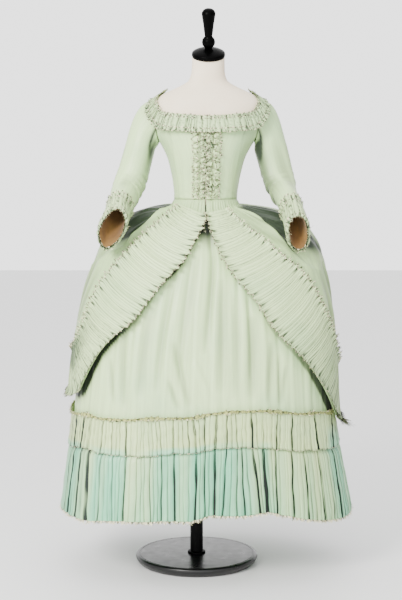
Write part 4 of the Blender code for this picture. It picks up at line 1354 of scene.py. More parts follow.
@dataclass
class Stand:
    """The round foot, the pole, the form with its slanted neck, and the turned cap and finial."""

    sides: int = 96

    def rounded(self, points: Sequence[tuple[float, float]], steps: int) -> Array:
        """A profile through (radius, height) points, rounded by monotone cubics in both."""
        return smooth_table(np.linspace(0.0, len(points) - 1.0, steps), points)

    def turned(self, name: str, profile: Array, finish: Finish, node: str, sides: int) -> None:
        """A turned piece. Its profile's first and last points lie on the axis and close it."""
        closed_body(name, turned_rings(profile[1:-1], sides), profile[[0, -1], 1], finish, [node])

    def build_foot(self) -> None:
        """A steel disc with a rounded rim, turned in towards the floor."""
        top = FOOT_THICKNESS
        rim = self.rounded(
            [(FOOT_RADIUS - 0.017, 0.0), (FOOT_RADIUS - 0.010, 0.004), (FOOT_RADIUS - 0.005, 0.010),
             (FOOT_RADIUS, 0.020), (FOOT_RADIUS - 0.001, top - 0.004), (FOOT_RADIUS - 0.006, top)], 26,
        )
        groove = [(FOOT_RADIUS - 0.012, top), (FOOT_RADIUS - 0.0135, top - 0.0012)]
        inner = [(FOOT_RADIUS - 0.015, top), (0.060, top), (0.0, top)]
        profile = np.concatenate([[(0.0, 0.0)], rim, groove, inner])
        self.turned("foot_disc", profile, FOOT_STEEL, "stand_foot", self.sides * 2)

    def build_pole(self) -> None:
        """The steel pole, from the foot to the form's underside."""
        low, high = FOOT_THICKNESS + 0.0003, FORM_FOOT - 0.0003
        collar = [(0.0, low), (0.030, low), (0.030, low + 0.004), (0.0285, low + 0.006)]
        tube = [(POLE_RADIUS, low + 0.007), (POLE_RADIUS, high), (0.0, high)]
        self.turned("steel_pole", np.array(collar + tube), POLE_STEEL, "stand_pole", self.sides // 2)

    def build_form(self) -> None:
        """The cotton-covered torso, its neck cut off on a slant."""
        heights = np.concatenate([
            np.linspace(FORM_FOOT, 1.55, 56), np.linspace(1.556, NECK_TOP, 34),
        ])[:, None]
        turns = np.linspace(0.0, 360.0, self.sides, endpoint=False)[None, :]
        rings = TORSO.at(turns, heights, -0.0014).points
        slant = smooth_step(heights, 1.635, NECK_TOP)
        rings[..., 2] += slant * rings[..., 1] * math.tan(CAP_TILT)
        foot = rings[:1].copy()
        foot[..., 0] = AXIS_OUT + (foot[..., 0] - AXIS_OUT) * 0.985
        foot[..., 1] *= 0.985
        rings[0, :, 2] += 0.003
        rings = np.concatenate([foot, rings])
        ends = np.array([FORM_FOOT, NECK_TOP])
        closed_body("form_torso", rings, ends, FORM_COVER, ["dress_form"], sharp=50.0)

    def build_cap(self) -> None:
        """The lacquered cap on the neck and the ball and cone of its finial."""
        base = (float(axis_out(NECK_TOP)), 0.0, NECK_TOP + 0.0004)
        cap = [(CAP_RADIUS - 0.001, 0.0), (CAP_RADIUS, 0.002), (CAP_RADIUS + 0.001, 0.006),
               (CAP_RADIUS, 0.0125), (CAP_RADIUS - 0.003, 0.0155), (0.045, 0.0190), (0.034, 0.0235),
               (0.020, 0.0275), (0.008, 0.0285)]
        finial = [(0.012, 0.0288), (0.0130, 0.0315), (0.0135, 0.0330), (0.0200, 0.0400), (0.0217, 0.0490),
                  (0.0200, 0.0580), (0.0140, 0.0660), (0.0125, 0.0700), (0.0135, 0.0750), (0.0170, 0.1050),
                  (0.0215, 0.1350), (0.0225, 0.1440), (0.0190, 0.1530), (0.0110, 0.1590), (0.004, 0.1608)]
        for name, points, node in (("cap_disc", cap, "neck_cap"), ("cap_finial", finial, "neck_finial")):
            profile = self.rounded(points, 6 * len(points))
            rings = turned_rings(profile, self.sides)
            closed_body(name, rings, profile[[0, -1], 1], BLACK_WOOD, [node], CAP_TILT, base)

    def build(self) -> None:
        """Makes every piece of the stand."""
        self.build_foot()
        self.build_pole()
        self.build_form()
        self.build_cap()


class PanelRow(NamedTuple):
    """A row of half the bodice, from the neck side of the strap to the side seam or the armhole."""

    inner_turn: float
    inner_height: float
    outer_turn: float
    outer_height: float


SIDE_SEAM = 94.5
SHOULDER_SEAM = 90.0
SEAM_TURN = 0.1
BODICE_FOOT = WAIST_HEIGHT + 0.0008
BODICE_OUT = 0.0024
FRONT_PANEL = rows_of(
    PanelRow,
    (50.0, BODICE_FOOT, SIDE_SEAM, BODICE_FOOT), (50.0, 1.29, SIDE_SEAM, 1.285),
    (50.0, 1.35, SIDE_SEAM, 1.345), (51.0, 1.4, SIDE_SEAM - 1.0, 1.388), (52.0, 1.445, 89.0, 1.416),
    (53.0, 1.48, 78.0, 1.431), (54.0, 1.505, 71.3, 1.465), (60.0, 1.53, 73.0, 1.502),
    (72.0, 1.552, 80.6, 1.527), (SHOULDER_SEAM - SEAM_TURN, 1.566, SHOULDER_SEAM - SEAM_TURN, 1.537),
)
FRONT_CENTRE = (BODICE_FOOT, 1.270, 1.320, 1.365, 1.410, 1.450, 1.490)
BACK_SIDE_SEAM = SIDE_SEAM + 2 * SEAM_TURN
BACK_PANEL = rows_of(
    PanelRow,
    (130.0, BODICE_FOOT, BACK_SIDE_SEAM, BODICE_FOOT), (129.0, 1.29, BACK_SIDE_SEAM, 1.285),
    (128.0, 1.35, BACK_SIDE_SEAM, 1.345), (126.0, 1.41, BACK_SIDE_SEAM, 1.388),
    (124.0, 1.465, 96.0, 1.416), (121.0, 1.515, 106.0, 1.431), (120.0, 1.536, 109.5, 1.448),
    (119.0, 1.553, 112.7, 1.465), (113.0, 1.558, 111.0, 1.502), (104.0, 1.563, 103.4, 1.527),
    (SHOULDER_SEAM + SEAM_TURN, 1.567, SHOULDER_SEAM + SEAM_TURN, 1.537),
)
BACK_CENTRE = (BODICE_FOOT, 1.290, 1.355, 1.420, 1.470, 1.510, 1.530, 1.545)


class FrillStation(NamedTuple):
    """The neck frill at a turn: the height it is sewn at, and how far its edge stands out and drops."""

    turn: float
    height: float
    spread: float
    drop: float


FRILL = rows_of(
    FrillStation,
    (0.0, 1.485, 0.02, 0.05), (25.0, 1.49, 0.02, 0.05), (50.0, 1.502, 0.024, 0.05),
    (62.0, 1.534, 0.032, 0.044), (75.0, 1.559, 0.04, 0.038), (90.0, 1.574, 0.046, 0.032),
    (105.0, 1.569, 0.046, 0.032), (120.0, 1.556, 0.038, 0.042), (150.0, 1.548, 0.026, 0.056),
    (180.0, 1.545, 0.025, 0.058),
)


def frill_place(turn: Array, travel: Array) -> Array:
    """The neck frill, straight from the neckline at travel 0 to its free edge at travel 1.

    Args:
        turn: The turns, in degrees.
        travel: The places across the frill.

    Returns:
        The points.
    """
    height, spread, drop = column(np.abs(turn), FRILL, "turn", "height", "spread", "drop")
    angle = np.radians(turn)
    sewn = TORSO.at(turn, height, BODICE_OUT + 0.0024).points
    fall = np.stack([spread * np.sin(angle), -spread * np.cos(angle), -drop], axis=-1)
    return sewn + fall * np.asarray(travel, float)[..., None]


@dataclass
class Bodice:
    """The close bodice: four panels, the two ruched strips at the front, and the frill round the neck."""

    rows: int = 64
    centre_columns: int = 26
    strap_columns: int = 26
    ruche_turns: tuple[float, float, float] = (20.5, 17.5, 12.5)
    ruche_top: float = 1.428
    frill_pleats: int = 44

    def panel(
        self, name: str, node: str, side: Side, table: Sequence[PanelRow], centre_turn: float,
        centre: Sequence[float],
    ) -> None:
        """Half of the front or of the back, with its waist tension and the seam beside the bust.

        Args:
            name: The piece's name.
            node: The solid it stands for.
            side: Left or right.
            table: The panel's rows.
            centre_turn: The turn of its centre edge.
            centre: The heights of its centre edge, a value a row.
        """
        last = len(table) - 1
        row = np.linspace(0.0, last, self.rows)
        row[np.abs(row - (len(centre) - 1)).argmin()] = len(centre) - 1
        line = PanelRow(*smooth_table(row, table).T)
        middle = curve(np.minimum(row, len(centre) - 1.0), range(len(centre)), centre)
        near = np.linspace(0.0, 1.0, self.centre_columns)[None, :-1]
        far = np.linspace(0.0, 1.0, self.strap_columns)[None, :]
        inner_turn, inner_height = line.inner_turn[:, None], line.inner_height[:, None]
        turns = np.concatenate([
            centre_turn + (inner_turn - centre_turn) * near,
            inner_turn + (line.outer_turn[:, None] - inner_turn) * far,
        ], axis=1)
        heights = np.concatenate([
            middle[:, None] + (inner_height - middle[:, None]) * near,
            inner_height + (line.outer_height[:, None] - inner_height) * far,
        ], axis=1)
        kept = np.ones((self.rows - 1, turns.shape[1] - 1), bool)
        kept[(row[:-1] >= len(centre) - 1.001), :self.centre_columns - 1] = False
        is_front = centre_turn < 90
        seam_turns = [55.0, 56.0, 43.0] if is_front else [142.0, 140.0, 136.0]
        seam_turn = curve(heights, [1.23, 1.33, 1.43], seam_turns)
        past = (turns - seam_turn) * (1 if is_front else -1)
        seam = np.exp(-((past / 1.1) ** 2)) * smooth_step(1.47 - heights, 0.0, 0.03)
        strain = waves(heights + 0.0006 * turns, 0.019, 7 + side.value)
        strain = strain * smooth_step(1.285 - heights, 0.0, 0.05)
        upright = waves(turns * 0.0018 + 0.12 * heights, 0.035, 17 + side.value)
        upright = upright * smooth_step(heights, 1.22, 1.30)
        edge = smooth_step(heights, BODICE_FOOT, BODICE_FOOT + 0.012)
        lift = BODICE_OUT - 0.0010 * seam + edge * (0.0008 * strain + 0.0007 * upright)
        # Painted shade: the side panels past the seam, darker on the right, the seam's groove, the armhole
        # and the troughs of the waist's wrinkles
        side_shade = smooth_step(past, -0.5, 1.2) * (0.16 + 0.05 * side.value)
        side_shade = side_shade * smooth_step(1.50 - heights, 0.0, 0.04)
        armhole = 0.45 * np.exp(-(((turns - line.outer_turn[:, None]) / 7.0) ** 2))
        armhole = armhole * smooth_step(heights, 1.36, 1.42)
        furrow = side_shade + 0.22 * seam + armhole + 0.12 * edge * np.clip(-strain, 0.0, 1.0)
        lay_cloth(
            name, TORSO.at(side.value * turns, heights, lift), PALE_SILK, [node], Hold.STRETCHED,
            ["form_torso"], kept=kept, furrow=furrow,
        )

    def ruche(self, side: Side) -> None:
        """A strip gathered on a thread down its middle: both its edges stand up in uneven, frayed puffs.

        Args:
            side: Left or right.
        """
        rows, columns = 150, 30
        share = np.linspace(0.0, 1.0, columns)[None, :]
        way = np.linspace(0.0, 1.0, rows)[:, None]
        height = (BODICE_FOOT + 0.002) + (self.ruche_top + 0.018 - BODICE_FOOT) * way
        seed = 40 + side.value
        along = way * 0.22 + 0.0035 * waves(share * 0.03 + way * 0.5, 0.011, seed + 11)
        bunch = waves(along, 0.0165, seed)
        bunch_out = waves(along + 0.006, 0.0190, seed + 3)
        mix = smooth_step(share, 0.35, 0.65)
        wave = bunch * (1 - mix) + bunch_out * mix
        stand = np.clip(0.5 + 0.85 * wave, 0.0, 1.3)
        pinch = 1 - 0.75 * np.exp(-(((share - 0.48) / 0.10) ** 2))
        rim = 1 - 0.45 * np.exp(-((share / 0.12) ** 2)) - 0.30 * np.exp(-(((1 - share) / 0.12) ** 2))
        lift = BODICE_OUT + 0.0022 + 0.0115 * pinch * rim * stand
        # Painted shade in the hollows between the puffs, along the pinched middle and in dark knots near the
        # centre
        inner = np.exp(-((share / 0.22) ** 2))
        furrow = (0.35 + 0.55 * inner) * np.clip(1 - 1.6 * stand, 0.0, 1.0)
        furrow = furrow + 0.25 * (1 - pinch) + 0.25 * inner * (1.3 - stand)
        knots = waves(height + 0.012 * share, 0.021, seed + 13)
        knots = knots * waves(share * 0.030 + 0.10 * way, 0.011, seed + 14)
        centre = smooth_step(share, 0.03, 0.12) * (1 - smooth_step(share, 0.45, 0.70))
        strength = curve(way, [0.0, 0.18, 0.30, 0.62, 0.74, 1.0], [1.3, 1.3, 0.4, 0.4, 1.5, 1.5])
        furrow = furrow + (0.65 + 0.35 * side.value) * centre * strength * smooth_step(knots, 0.02, 0.30)
        reach = curve(way, [0.0, 0.5, 1.0], self.ruche_turns) + 1.8 * waves(way * 0.22, 0.017, seed + 5)
        sideways = 1.3 * waves(along * 0.7 + share * 0.02, 0.013, seed + 9)
        turn = 0.2 + (reach - 0.2) * share + sideways * share * (1 - share) * 4
        inside = 1 - np.abs(2 * way - 1) ** 8
        height = height + 0.0055 * waves(share * 0.05 + way * 0.4, 0.035, seed + 7) * inside
        patch = TORSO.at(side.value * turn, height, lift)
        flipped = Patch(patch.points.swapaxes(0, 1), patch.normals.swapaxes(0, 1))
        threads = fringe(
            f"ruche_threads_{side.word}", [Edge.of(flipped, row) for row in (0, 6, 13, 20, -1)], RUCHE_FRINGE,
            seed,
        )
        lay_cloth(
            f"gathered_ruche_{side.word}", patch, BAND_SILK, [f"front_ruche_{side.word}"], Hold.GATHERED,
            [f"bodice_panel_front_{side.word}"], [threads], furrow=furrow,
        )

    def frill(self, side: Side) -> None:
        """Half of the pleated frill round the neckline, frayed along both edges.

        Args:
            side: Left or right.
        """
        surface = Surface(frill_place, 0.5, -0.03)

        def at(share: Array, across: Array, lift: Array) -> Patch:
            """The place on the frill, evenly round the neck from the front centre to the back."""
            turns = side.value * even_turns(surface, 0.5, 0.1, 179.8, share)
            return surface.at(turns, across, lift)

        strip = Strip(
            at, self.frill_pleats, 0.0036, 0.62, 60 + side.value,
            seat=(0.0020, 0.0006, 0.0010, 0.0020, 0.0014, 0.0030),
            swell=(0.9, 0.5, 0.9, 1.0, 0.8, 1.1),
            flare=(0.0060, 0.0008, 0.0010, 0.0015, 0.0025, 0.0060),
            across=(-0.2, 0.08, 0.3, 0.6, 0.82, 1.0), scallop=0.09, gap=0.24, gloom=0.9,
            spread=0.75, tangle=(0.5, 0.4, 1.1, 1.2, 0.7, 0.6, 0.6),
            shade=(0.03, 0.04, 0.20, 0.22, 0.08, 0.0, 0.0),
        )
        patch, furrow = strip.patch()
        threads = fringe(
            f"frill_threads_{side.word}", [Edge.of(patch, row) for row in (0, 3, 12, -1)], FRILL_FRINGE,
            64 + side.value,
        )
        lay_cloth(
            f"pleated_frill_{side.word}", patch, BAND_SILK, [f"neck_frill_{side.word}"], Hold.GATHERED,
            [f"bodice_panel_front_{side.word}", f"bodice_panel_back_{side.word}"], [threads], furrow=furrow,
        )

    def build(self) -> None:
        """Makes the panels first, since the trims rest on them."""
        for side in Side:
            for part, table, centre_turn, centre in (
                ("front", FRONT_PANEL, 0.15, FRONT_CENTRE), ("back", BACK_PANEL, 179.85, BACK_CENTRE),
            ):
                name = f"bodice_panel_{part}_{side.word}"
                self.panel(name, f"bodice_{part}_{side.word}", side, table, centre_turn, centre)
            self.ruche(side)
            self.frill(side)


class SleeveRing(NamedTuple):
    """A sleeve's centre line: how far out, back and up, its radius, and how the two sides differ."""

    out: float
    back: float
    height: float
    radius: float
    splay: float
    sag: float


SLEEVE = rows_of(
    SleeveRing,
    (0.213, 0.0, 1.395, 0.0505, 0.007, 0.0), (0.227, -0.002, 1.345, 0.05, 0.009, 0.0),
    (0.241, -0.01, 1.297, 0.05, 0.011, 0.0), (0.257, -0.034, 1.254, 0.049, 0.01, 0.0),
    (0.273, -0.085, 1.217, 0.048, 0.007, 0.001), (0.287, -0.136, 1.176, 0.0475, 0.005, 0.004),
    (0.298, -0.172, 1.134, 0.048, 0.005, 0.008), (0.304, -0.192, 1.11, 0.049, 0.005, 0.01),
)


# How far each sleeve stands out past the common centre line, at travels 1 to 8
LEFT_REACH = (-0.003, -0.007, -0.011, -0.011, -0.011, -0.009, -0.008, -0.008)
RIGHT_REACH = (0.002, 0.004, 0.005, 0.003, 0.0, 0.0, 0.0, 0.0)


@dataclass
class Sleeve:
    """An elbow sleeve with its pleated cuff and the lining that shows in its mouth.

    A place on it is a clock, 0 outwards and 90 to the front, and a travel: 0 at the armhole, 7 at the mouth.

    Attributes:
        side: Left or right.
        squeeze: How flat the forearm's rings are, as a share of their radius.
        reach: How far the centre line stands out past the common one, at travels 1 to 8.
        lean: How far the mouth's front leans towards -X, in metres.
        sharpness: How much more pointed the mouth is than an oval, below 0 for blunter.
        slant: How far the mouth's front is sheared up the arm, in metres.
        end: The travel at the silk's end.
        armhole_turn: The armhole's middle, round the torso.
        armhole_height: The height there.
        armhole_half_turn: Half of its width in turns.
        armhole_half_height: Half of its height.
        cuff_start: The travel where the cuff is sewn on.
        cuff_past_end: How far the cuff reaches past the silk's end, as travel.
        cuff_pleats: How many pleats the cuff has.
    """

    side: Side
    squeeze: float
    reach: tuple[float, ...]
    lean: float
    sharpness: float
    slant: float
    end: float
    armhole_turn: float = 92.0
    armhole_height: float = 1.476
    armhole_half_turn: float = 22.6
    armhole_half_height: float = 0.0655
    cuff_start: float = 5.6
    cuff_past_end: float = 0.5
    cuff_pleats: int = 26

    def centre_line(self, travel: Array) -> tuple[Array, Array]:
        """The centre line's points and the radius there, read smoothly from the table of rings.

        Args:
            travel: The places along it.

        Returns:
            The points, and the radii in metres.
        """
        ring = SleeveRing(*np.moveaxis(smooth_table(np.asarray(travel) - 1.0, SLEEVE), -1, 0))
        sign = self.side.value
        reach = curve(travel, range(1, 9), self.reach)
        out = ring.out - sign * ring.splay + reach
        return np.stack([out, ring.back, ring.height - sign * ring.sag], axis=-1), ring.radius

    def ring_place(self, clock: Array, travel: Array) -> tuple[Array, Array]:
        """A ring square to the centre line, squeezed flat and sheared forward towards the mouth.

        Args:
            clock: The places round the ring.
            travel: The places along the sleeve.

        Returns:
            The points, and the unit directions along the centre line.
        """
        centre, radius = self.centre_line(travel)
        along = self.centre_line(travel + 0.05)[0] - self.centre_line(travel - 0.05)[0]
        along /= np.linalg.norm(along, axis=-1, keepdims=True)
        outwards = np.array([1.0, 0.0, 0.0]) - along[..., :1] * along
        outwards /= np.linalg.norm(outwards, axis=-1, keepdims=True)
        forward = np.cross(along, outwards)
        angle = np.radians(clock)[..., None]
        slant = self.slant * np.clip((travel - 4.0) / 3.0, 0.0, 1.2) ** 2
        flat = self.squeeze * smooth_table(travel, [0.0, 1.0, 1.0], [3.5, 6.0, 8.0])
        mouth = smooth_step(travel, 5.0, 7.2)[..., None]
        point = 1 + self.sharpness * mouth
        across = (
            outwards * (signed_power(np.cos(angle), point) * (1 - flat))
            + forward * (signed_power(np.sin(angle), point) * (1 + 0.3 * flat))
        )
        sideways = np.array([-self.lean, 0.0, 0.0]) * mouth * np.sin(angle)
        shear = along * slant[..., None] * np.sin(angle)
        return centre + radius[..., None] * across - shear + sideways, along

    def place(self, clock: Array, travel: Array) -> Array:
        """A cubic from the armhole's oval to the first ring above travel 1, and the rings below it.

        Args:
            clock: The places round the sleeve, in degrees.
            travel: The places along it.

        Returns:
            The points.
        """
        clock, travel = np.broadcast_arrays(np.asarray(clock, float), np.asarray(travel, float))
        angle = np.radians(clock)
        height = self.armhole_height + self.armhole_half_height * np.cos(angle)
        turn = self.armhole_turn - self.armhole_half_turn * np.sin(angle)
        start = TORSO.at(turn, height, BODICE_OUT + 0.0024).points
        start = start - np.stack([axis_out(height), 0 * height, 0 * height], axis=-1)
        end, along = self.ring_place(clock, np.maximum(travel, 1.0))
        length = np.linalg.norm(end - start, axis=-1, keepdims=True)
        leave = np.stack([0.65 + 0.35 * np.cos(angle), 0 * angle, 0.4 * np.cos(angle) - 0.55], axis=-1)
        leave /= np.linalg.norm(leave, axis=-1, keepdims=True)
        share = np.clip(travel, 0.0, 1.0)[..., None]
        point = cubic(share, start, length * leave, end, length * along)
        x = axis_out(point[..., 2]) + self.side.value * point[..., 0]
        return np.stack([x, point[..., 1], point[..., 2]], axis=-1)

    def wrinkle(self, clock: Array, travel: Array) -> Array:
        """Slanting wrinkles that are deepest at the elbow, over long soft folds down the arm.

        Args:
            clock: The places round the sleeve, in degrees.
            travel: The places along it.

        Returns:
            The lift at each grid point, in metres.
        """
        angle = np.radians(clock)
        seed = 80 + self.side.value
        bend = np.exp(-(((travel - 3.9) / 1.1) ** 2)) * (0.45 + 0.55 * np.cos(angle + 1.9))
        cross = waves(travel * 0.05 + 0.016 * np.sin(angle + 0.8), 0.026, seed)
        long = np.cos(2 * angle + 0.5 * travel + seed) + 0.6 * np.cos(3 * angle - 0.4 * travel + 1.0)
        middle = smooth_step(travel, 0.3, 1.2) * smooth_step(5.6 - travel, 0.0, 1.3)
        head = np.exp(-((travel / 0.55) ** 2)) * smooth_step(travel, 0.02, 0.2)
        gathers = np.cos(angle * 17 + 0.6 * np.sin(3 * angle)) * np.clip(np.cos(angle), 0, 1)
        return middle * (0.0070 * bend * cross + 0.0030 * long) + 0.0016 * head * gathers

    def gloom(self, clock: Array, travel: Array) -> Array:
        """How much shade is painted: most on the side towards the body and in the armhole's folds.

        Args:
            clock: The places round the sleeve, in degrees.
            travel: The places along it.

        Returns:
            The amount of painted shade at each grid point.
        """
        # Painted shade: the side towards the body, darker on the right sleeve, the armhole's folds and the
        # outer side
        inwards = -np.cos(np.radians(clock))
        side = smooth_step(inwards, 0.10, 0.80) * smooth_step(travel, 0.0, 0.6)
        side = side * smooth_step(5.6 - travel, 0.0, 2.0)
        fold = np.exp(-(((clock - 112.0 - 16.0 * travel) / 7.0) ** 2)) * smooth_step(1.9 - travel, 0.0, 1.6)
        deep = np.exp(-(((clock - 140.0 - 6.0 * travel) / 16.0) ** 2)) * smooth_step(travel, 0.1, 0.5)
        deep = deep * smooth_step(2.3 - travel, 0.0, 1.2)
        outside = smooth_step(-inwards, 0.80, 1.0) * smooth_step(travel, 0.5, 1.5)
        return (0.50 + 0.22 * self.side.value) * side + 0.95 * fold + 0.5 * deep + 0.26 * outside

    def build(self) -> None:
        """Makes the sleeve, the cuff and the lining."""
        word = self.side.word
        surface = Surface(self.place, 2.0, 0.02 * self.side.value)
        clocks = np.linspace(0.0, 360.0, 72, endpoint=False)[None, :]
        travels = np.concatenate([np.linspace(0.0, 1.0, 22)[:-1], np.linspace(1.0, self.end, 78)])[:, None]
        seam = 0.0010 * np.exp(-(((clocks - 250) / 3.0) ** 2)) * smooth_step(travels, 0.2, 0.6)
        wrinkle = self.wrinkle(clocks, travels)
        patch = surface.at(clocks, travels, wrinkle - seam)
        lay_cloth(
            f"silk_sleeve_{word}", patch, PALE_SILK, [f"sleeve_{word}"], Hold.HUNG,
            [f"bodice_panel_front_{word}", f"bodice_panel_back_{word}"], closed=True,
            # with painted shade in the wrinkles' troughs as well
            furrow=self.gloom(clocks, travels) + 0.45 * np.clip(-wrinkle / 0.004 - 0.3, 0.0, 1.0),
        )

        def at(share: Array, across: Array, lift: Array) -> Patch:
            """The place on the cuff, once round the sleeve from its outer side."""
            travel = self.cuff_start + (self.end + self.cuff_past_end - self.cuff_start) * across
            return surface.at(360.0 * share, travel, lift)

        strip = Strip(
            at, self.cuff_pleats, 0.0038, 0.32, 90 + self.side.value,
            seat=(0.0040, 0.0020, 0.0026, 0.0034, 0.0044, -0.0010),
            swell=(0.7, 0.45, 0.8, 1.0, 1.0, 0.6),
            flare=(0.0045, 0.0004, 0.0008, 0.0012, 0.0030, 0.0024),
            across=(0.0, 0.14, 0.3, 0.6, 0.86, 1.0), scallop=0.07, gap=0.20, spread=0.6,
            tangle=(0.7, 1.0, 1.0, 0.7), shade=(0.22, 0.12, 0.16, 0.30, 0.22),
        )
        patch, furrow = strip.patch()
        threads = fringe(
            f"cuff_threads_{word}", [Edge.of(patch, row) for row in (0, 3, 13, -1)], CUFF_FRINGE,
            94 + self.side.value,
        )
        lay_cloth(
            f"pleated_cuff_{word}", Patch(patch.points[:, :-1], patch.normals[:, :-1]), BAND_SILK,
            [f"cuff_frill_{word}"], Hold.GATHERED, [f"silk_sleeve_{word}"], [threads], closed=True,
            furrow=furrow[:, :-1],
        )
        travels = np.linspace(4.8, self.end + 0.38, 36)[:, None]
        tuck = 0.0008 * np.cos(np.radians(clocks) * 5 + travels)
        lip = 0.0020 * smooth_step(travels, self.end, self.end + 0.4)
        inset = 0.0048 + 0.0060 * smooth_step(5.6 - travels, 0.0, 0.6)
        patch = surface.at(clocks, travels, tuck + lip - inset)
        threads = fringe(f"lining_threads_{word}", [Edge.of(patch, -1)], LINING_FRINGE, 98 + self.side.value)
        lay_cloth(
            f"linen_lining_{word}", patch, LINING, [f"cuff_lining_{word}"], Hold.HUNG,
            [f"silk_sleeve_{word}"], [threads], closed=True,
        )


class FlounceLine(NamedTuple):
    """The flounce's lines at a turn: its heading, the seam between its tiers and its hem."""

    turn: float
    heading: float
    seam: float
    hem: float


FLOUNCE_LINES = rows_of(
    FlounceLine,
    (-120.0, 0.545, 0.446, 0.21), (-75.0, 0.525, 0.43, 0.205), (-64.0, 0.53, 0.437, 0.202),
    (-54.0, 0.534, 0.44, 0.198), (-45.0, 0.528, 0.432, 0.202), (-38.0, 0.529, 0.431, 0.208),
    (-29.0, 0.531, 0.432, 0.211), (-20.0, 0.538, 0.434, 0.214), (-12.0, 0.541, 0.443, 0.219),
    (-3.0, 0.543, 0.447, 0.219), (3.0, 0.556, 0.458, 0.238), (13.0, 0.562, 0.463, 0.235),
    (22.0, 0.562, 0.46, 0.243), (32.0, 0.555, 0.452, 0.23), (43.0, 0.544, 0.441, 0.209),
    (57.0, 0.539, 0.435, 0.194), (70.0, 0.53, 0.43, 0.189), (100.0, 0.545, 0.44, 0.206),
    (180.0, 0.553, 0.445, 0.212), (240.0, 0.545, 0.446, 0.21),
)
TIER_OVERLAP = 0.014

# Where the flounce's tables start and end, at the back
BACK_START = -120.0


def flounce_height(turn: Array, line: str) -> Array:
    """The height of one of the flounce's lines: heading, seam, hem, or overlap for the upper tier's foot.

    Args:
        turn: The turns, in degrees.
        line: The line's name.

    Returns:
        The heights, in metres.
    """
    signed = turn_from(turn, BACK_START)
    height = column(signed, FLOUNCE_LINES, "turn", "seam" if line == "overlap" else line)[0]
    return height - TIER_OVERLAP if line == "overlap" else height


class FoldLine(NamedTuple):
    """A deep fold of the flounce: its turns at the heading, seam and hem, and its gloom in each tier."""

    heading: float
    seam: float
    hem: float
    upper: float
    lower: float


FRONT_FOLDS = rows_of(
    FoldLine,
    (-75.0, -72.5, -71.0, 0.9, 0.9), (-67.0, -66.4, -66.0, 1.3, 1.4), (-66.5, -66.1, -65.0, 1.3, 1.4),
    (-58.0, -59.0, -57.2, 1.4, 1.4), (-57.4, -58.5, -56.7, 1.4, 1.4), (-52.0, -51.9, -48.0, 0.5, 1.4),
    (-51.7, -51.5, -47.6, 0.4, 1.4), (-42.8, -43.0, -41.1, 0.8, 0.9), (-37.5, -36.4, -33.4, 0.8, 1.0),
    (-30.1, -29.2, -28.8, 1.4, 1.4), (-29.9, -28.9, -28.5, 1.4, 1.4), (-24.3, -24.0, -23.0, 0.2, 0.5),
    (-19.8, -18.5, -17.0, 0.3, 0.8), (-15.0, -13.5, -13.0, 0.5, 1.0), (-9.6, -9.1, -8.3, 0.8, 1.4),
    (-9.4, -8.8, -8.0, 0.6, 1.4), (-4.2, -3.5, -3.9, 0.8, 0.3), (-2.4, -1.3, -2.0, 1.1, 1.4),
    (-2.2, -1.1, -1.7, 1.1, 1.4), (0.8, 0.9, 0.5, 1.2, 1.2), (4.8, 4.0, 3.0, 1.0, 1.4),
    (5.0, 4.3, 3.3, 0.8, 1.4), (8.5, 8.3, 5.8, 1.0, 1.0), (11.8, 12.3, 10.6, 0.6, 0.7),
    (14.8, 13.9, 13.5, 0.3, 1.0), (18.4, 18.2, 19.5, 1.4, 1.4), (18.6, 18.5, 19.8, 1.4, 1.4),
    (22.6, 22.5, 22.0, 0.2, 1.4), (23.5, 23.1, 23.0, 0.3, 1.4), (30.8, 28.8, 26.4, 0.8, 1.0),
    (38.8, 36.8, 34.0, 1.0, 1.0), (46.6, 44.1, 41.5, 0.4, 0.9), (53.4, 53.3, 50.9, 1.4, 0.8),
    (53.8, 53.7, 51.6, 1.4, 0.5), (62.8, 61.0, 58.2, 0.4, 0.5), (73.6, 67.8, 64.5, 1.4, 1.4),
    (74.4, 68.4, 65.2, 1.4, 1.4),
)
# Shallow folds come at about this spacing, and pleats between two folds gloomier than OPEN_FOLD lie open
FOLD_SPACING = 0.017
OPEN_FOLD = 1.25
BACK_FOLDS = 26


def fold_lines(part: tuple[float, float], seed: int) -> Array:
    """Every fold of half the flounce: the deep ones, and shallow ones between those that lie far apart.

    The front's deep folds are the table's, and the back's are as uneven but random.

    Args:
        part: The turns that the half runs between.
        seed: Fixes the random folds.

    Returns:
        A row for each fold in order, with the columns of FoldLine.
    """
    random = np.random.default_rng(seed)
    if part[0] < 0:
        deep = np.array(FRONT_FOLDS)
    else:
        middle = np.linspace(part[0], part[1], BACK_FOLDS + 2)[1:-1] + random.uniform(-2.4, 2.4, BACK_FOLDS)
        turns = middle[:, None] + random.normal(0.0, [0.5, 0.1, 1.1], (BACK_FOLDS, 3))
        deep = np.concatenate([turns, random.choice([0.3, 0.6, 0.8, 1.1], (BACK_FOLDS, 2))], axis=1)
    ends = [[turn, turn, turn, 0.3, 0.3] for turn in part]
    deep = np.concatenate([ends[:1], deep, ends[1:]])
    places = SKIRT_SURFACE.place(deep[:, 1], np.full(len(deep), HEM_LEVEL))
    gaps = np.linalg.norm(np.diff(places, axis=0), axis=1)
    rows = [deep[:1]]
    for before, after, gap in zip(deep, deep[1:], gaps):
        extra = max(round(gap / FOLD_SPACING) - 1, 0)
        share = (np.arange(extra) + 1 + random.uniform(-0.25, 0.25, extra))[:, None] / (extra + 1)
        shallow = before + (after - before) * share
        shallow[:, 3:] = random.uniform(0.05, 0.45, (extra, 2))
        rows += [shallow, after[None]]
    return np.concatenate(rows)


class TierFade(NamedTuple):
    """How faded the flounce is at a turn: bleaching of the lower tier, and turquoise left in the upper."""

    turn: float
    lower: float
    upper: float


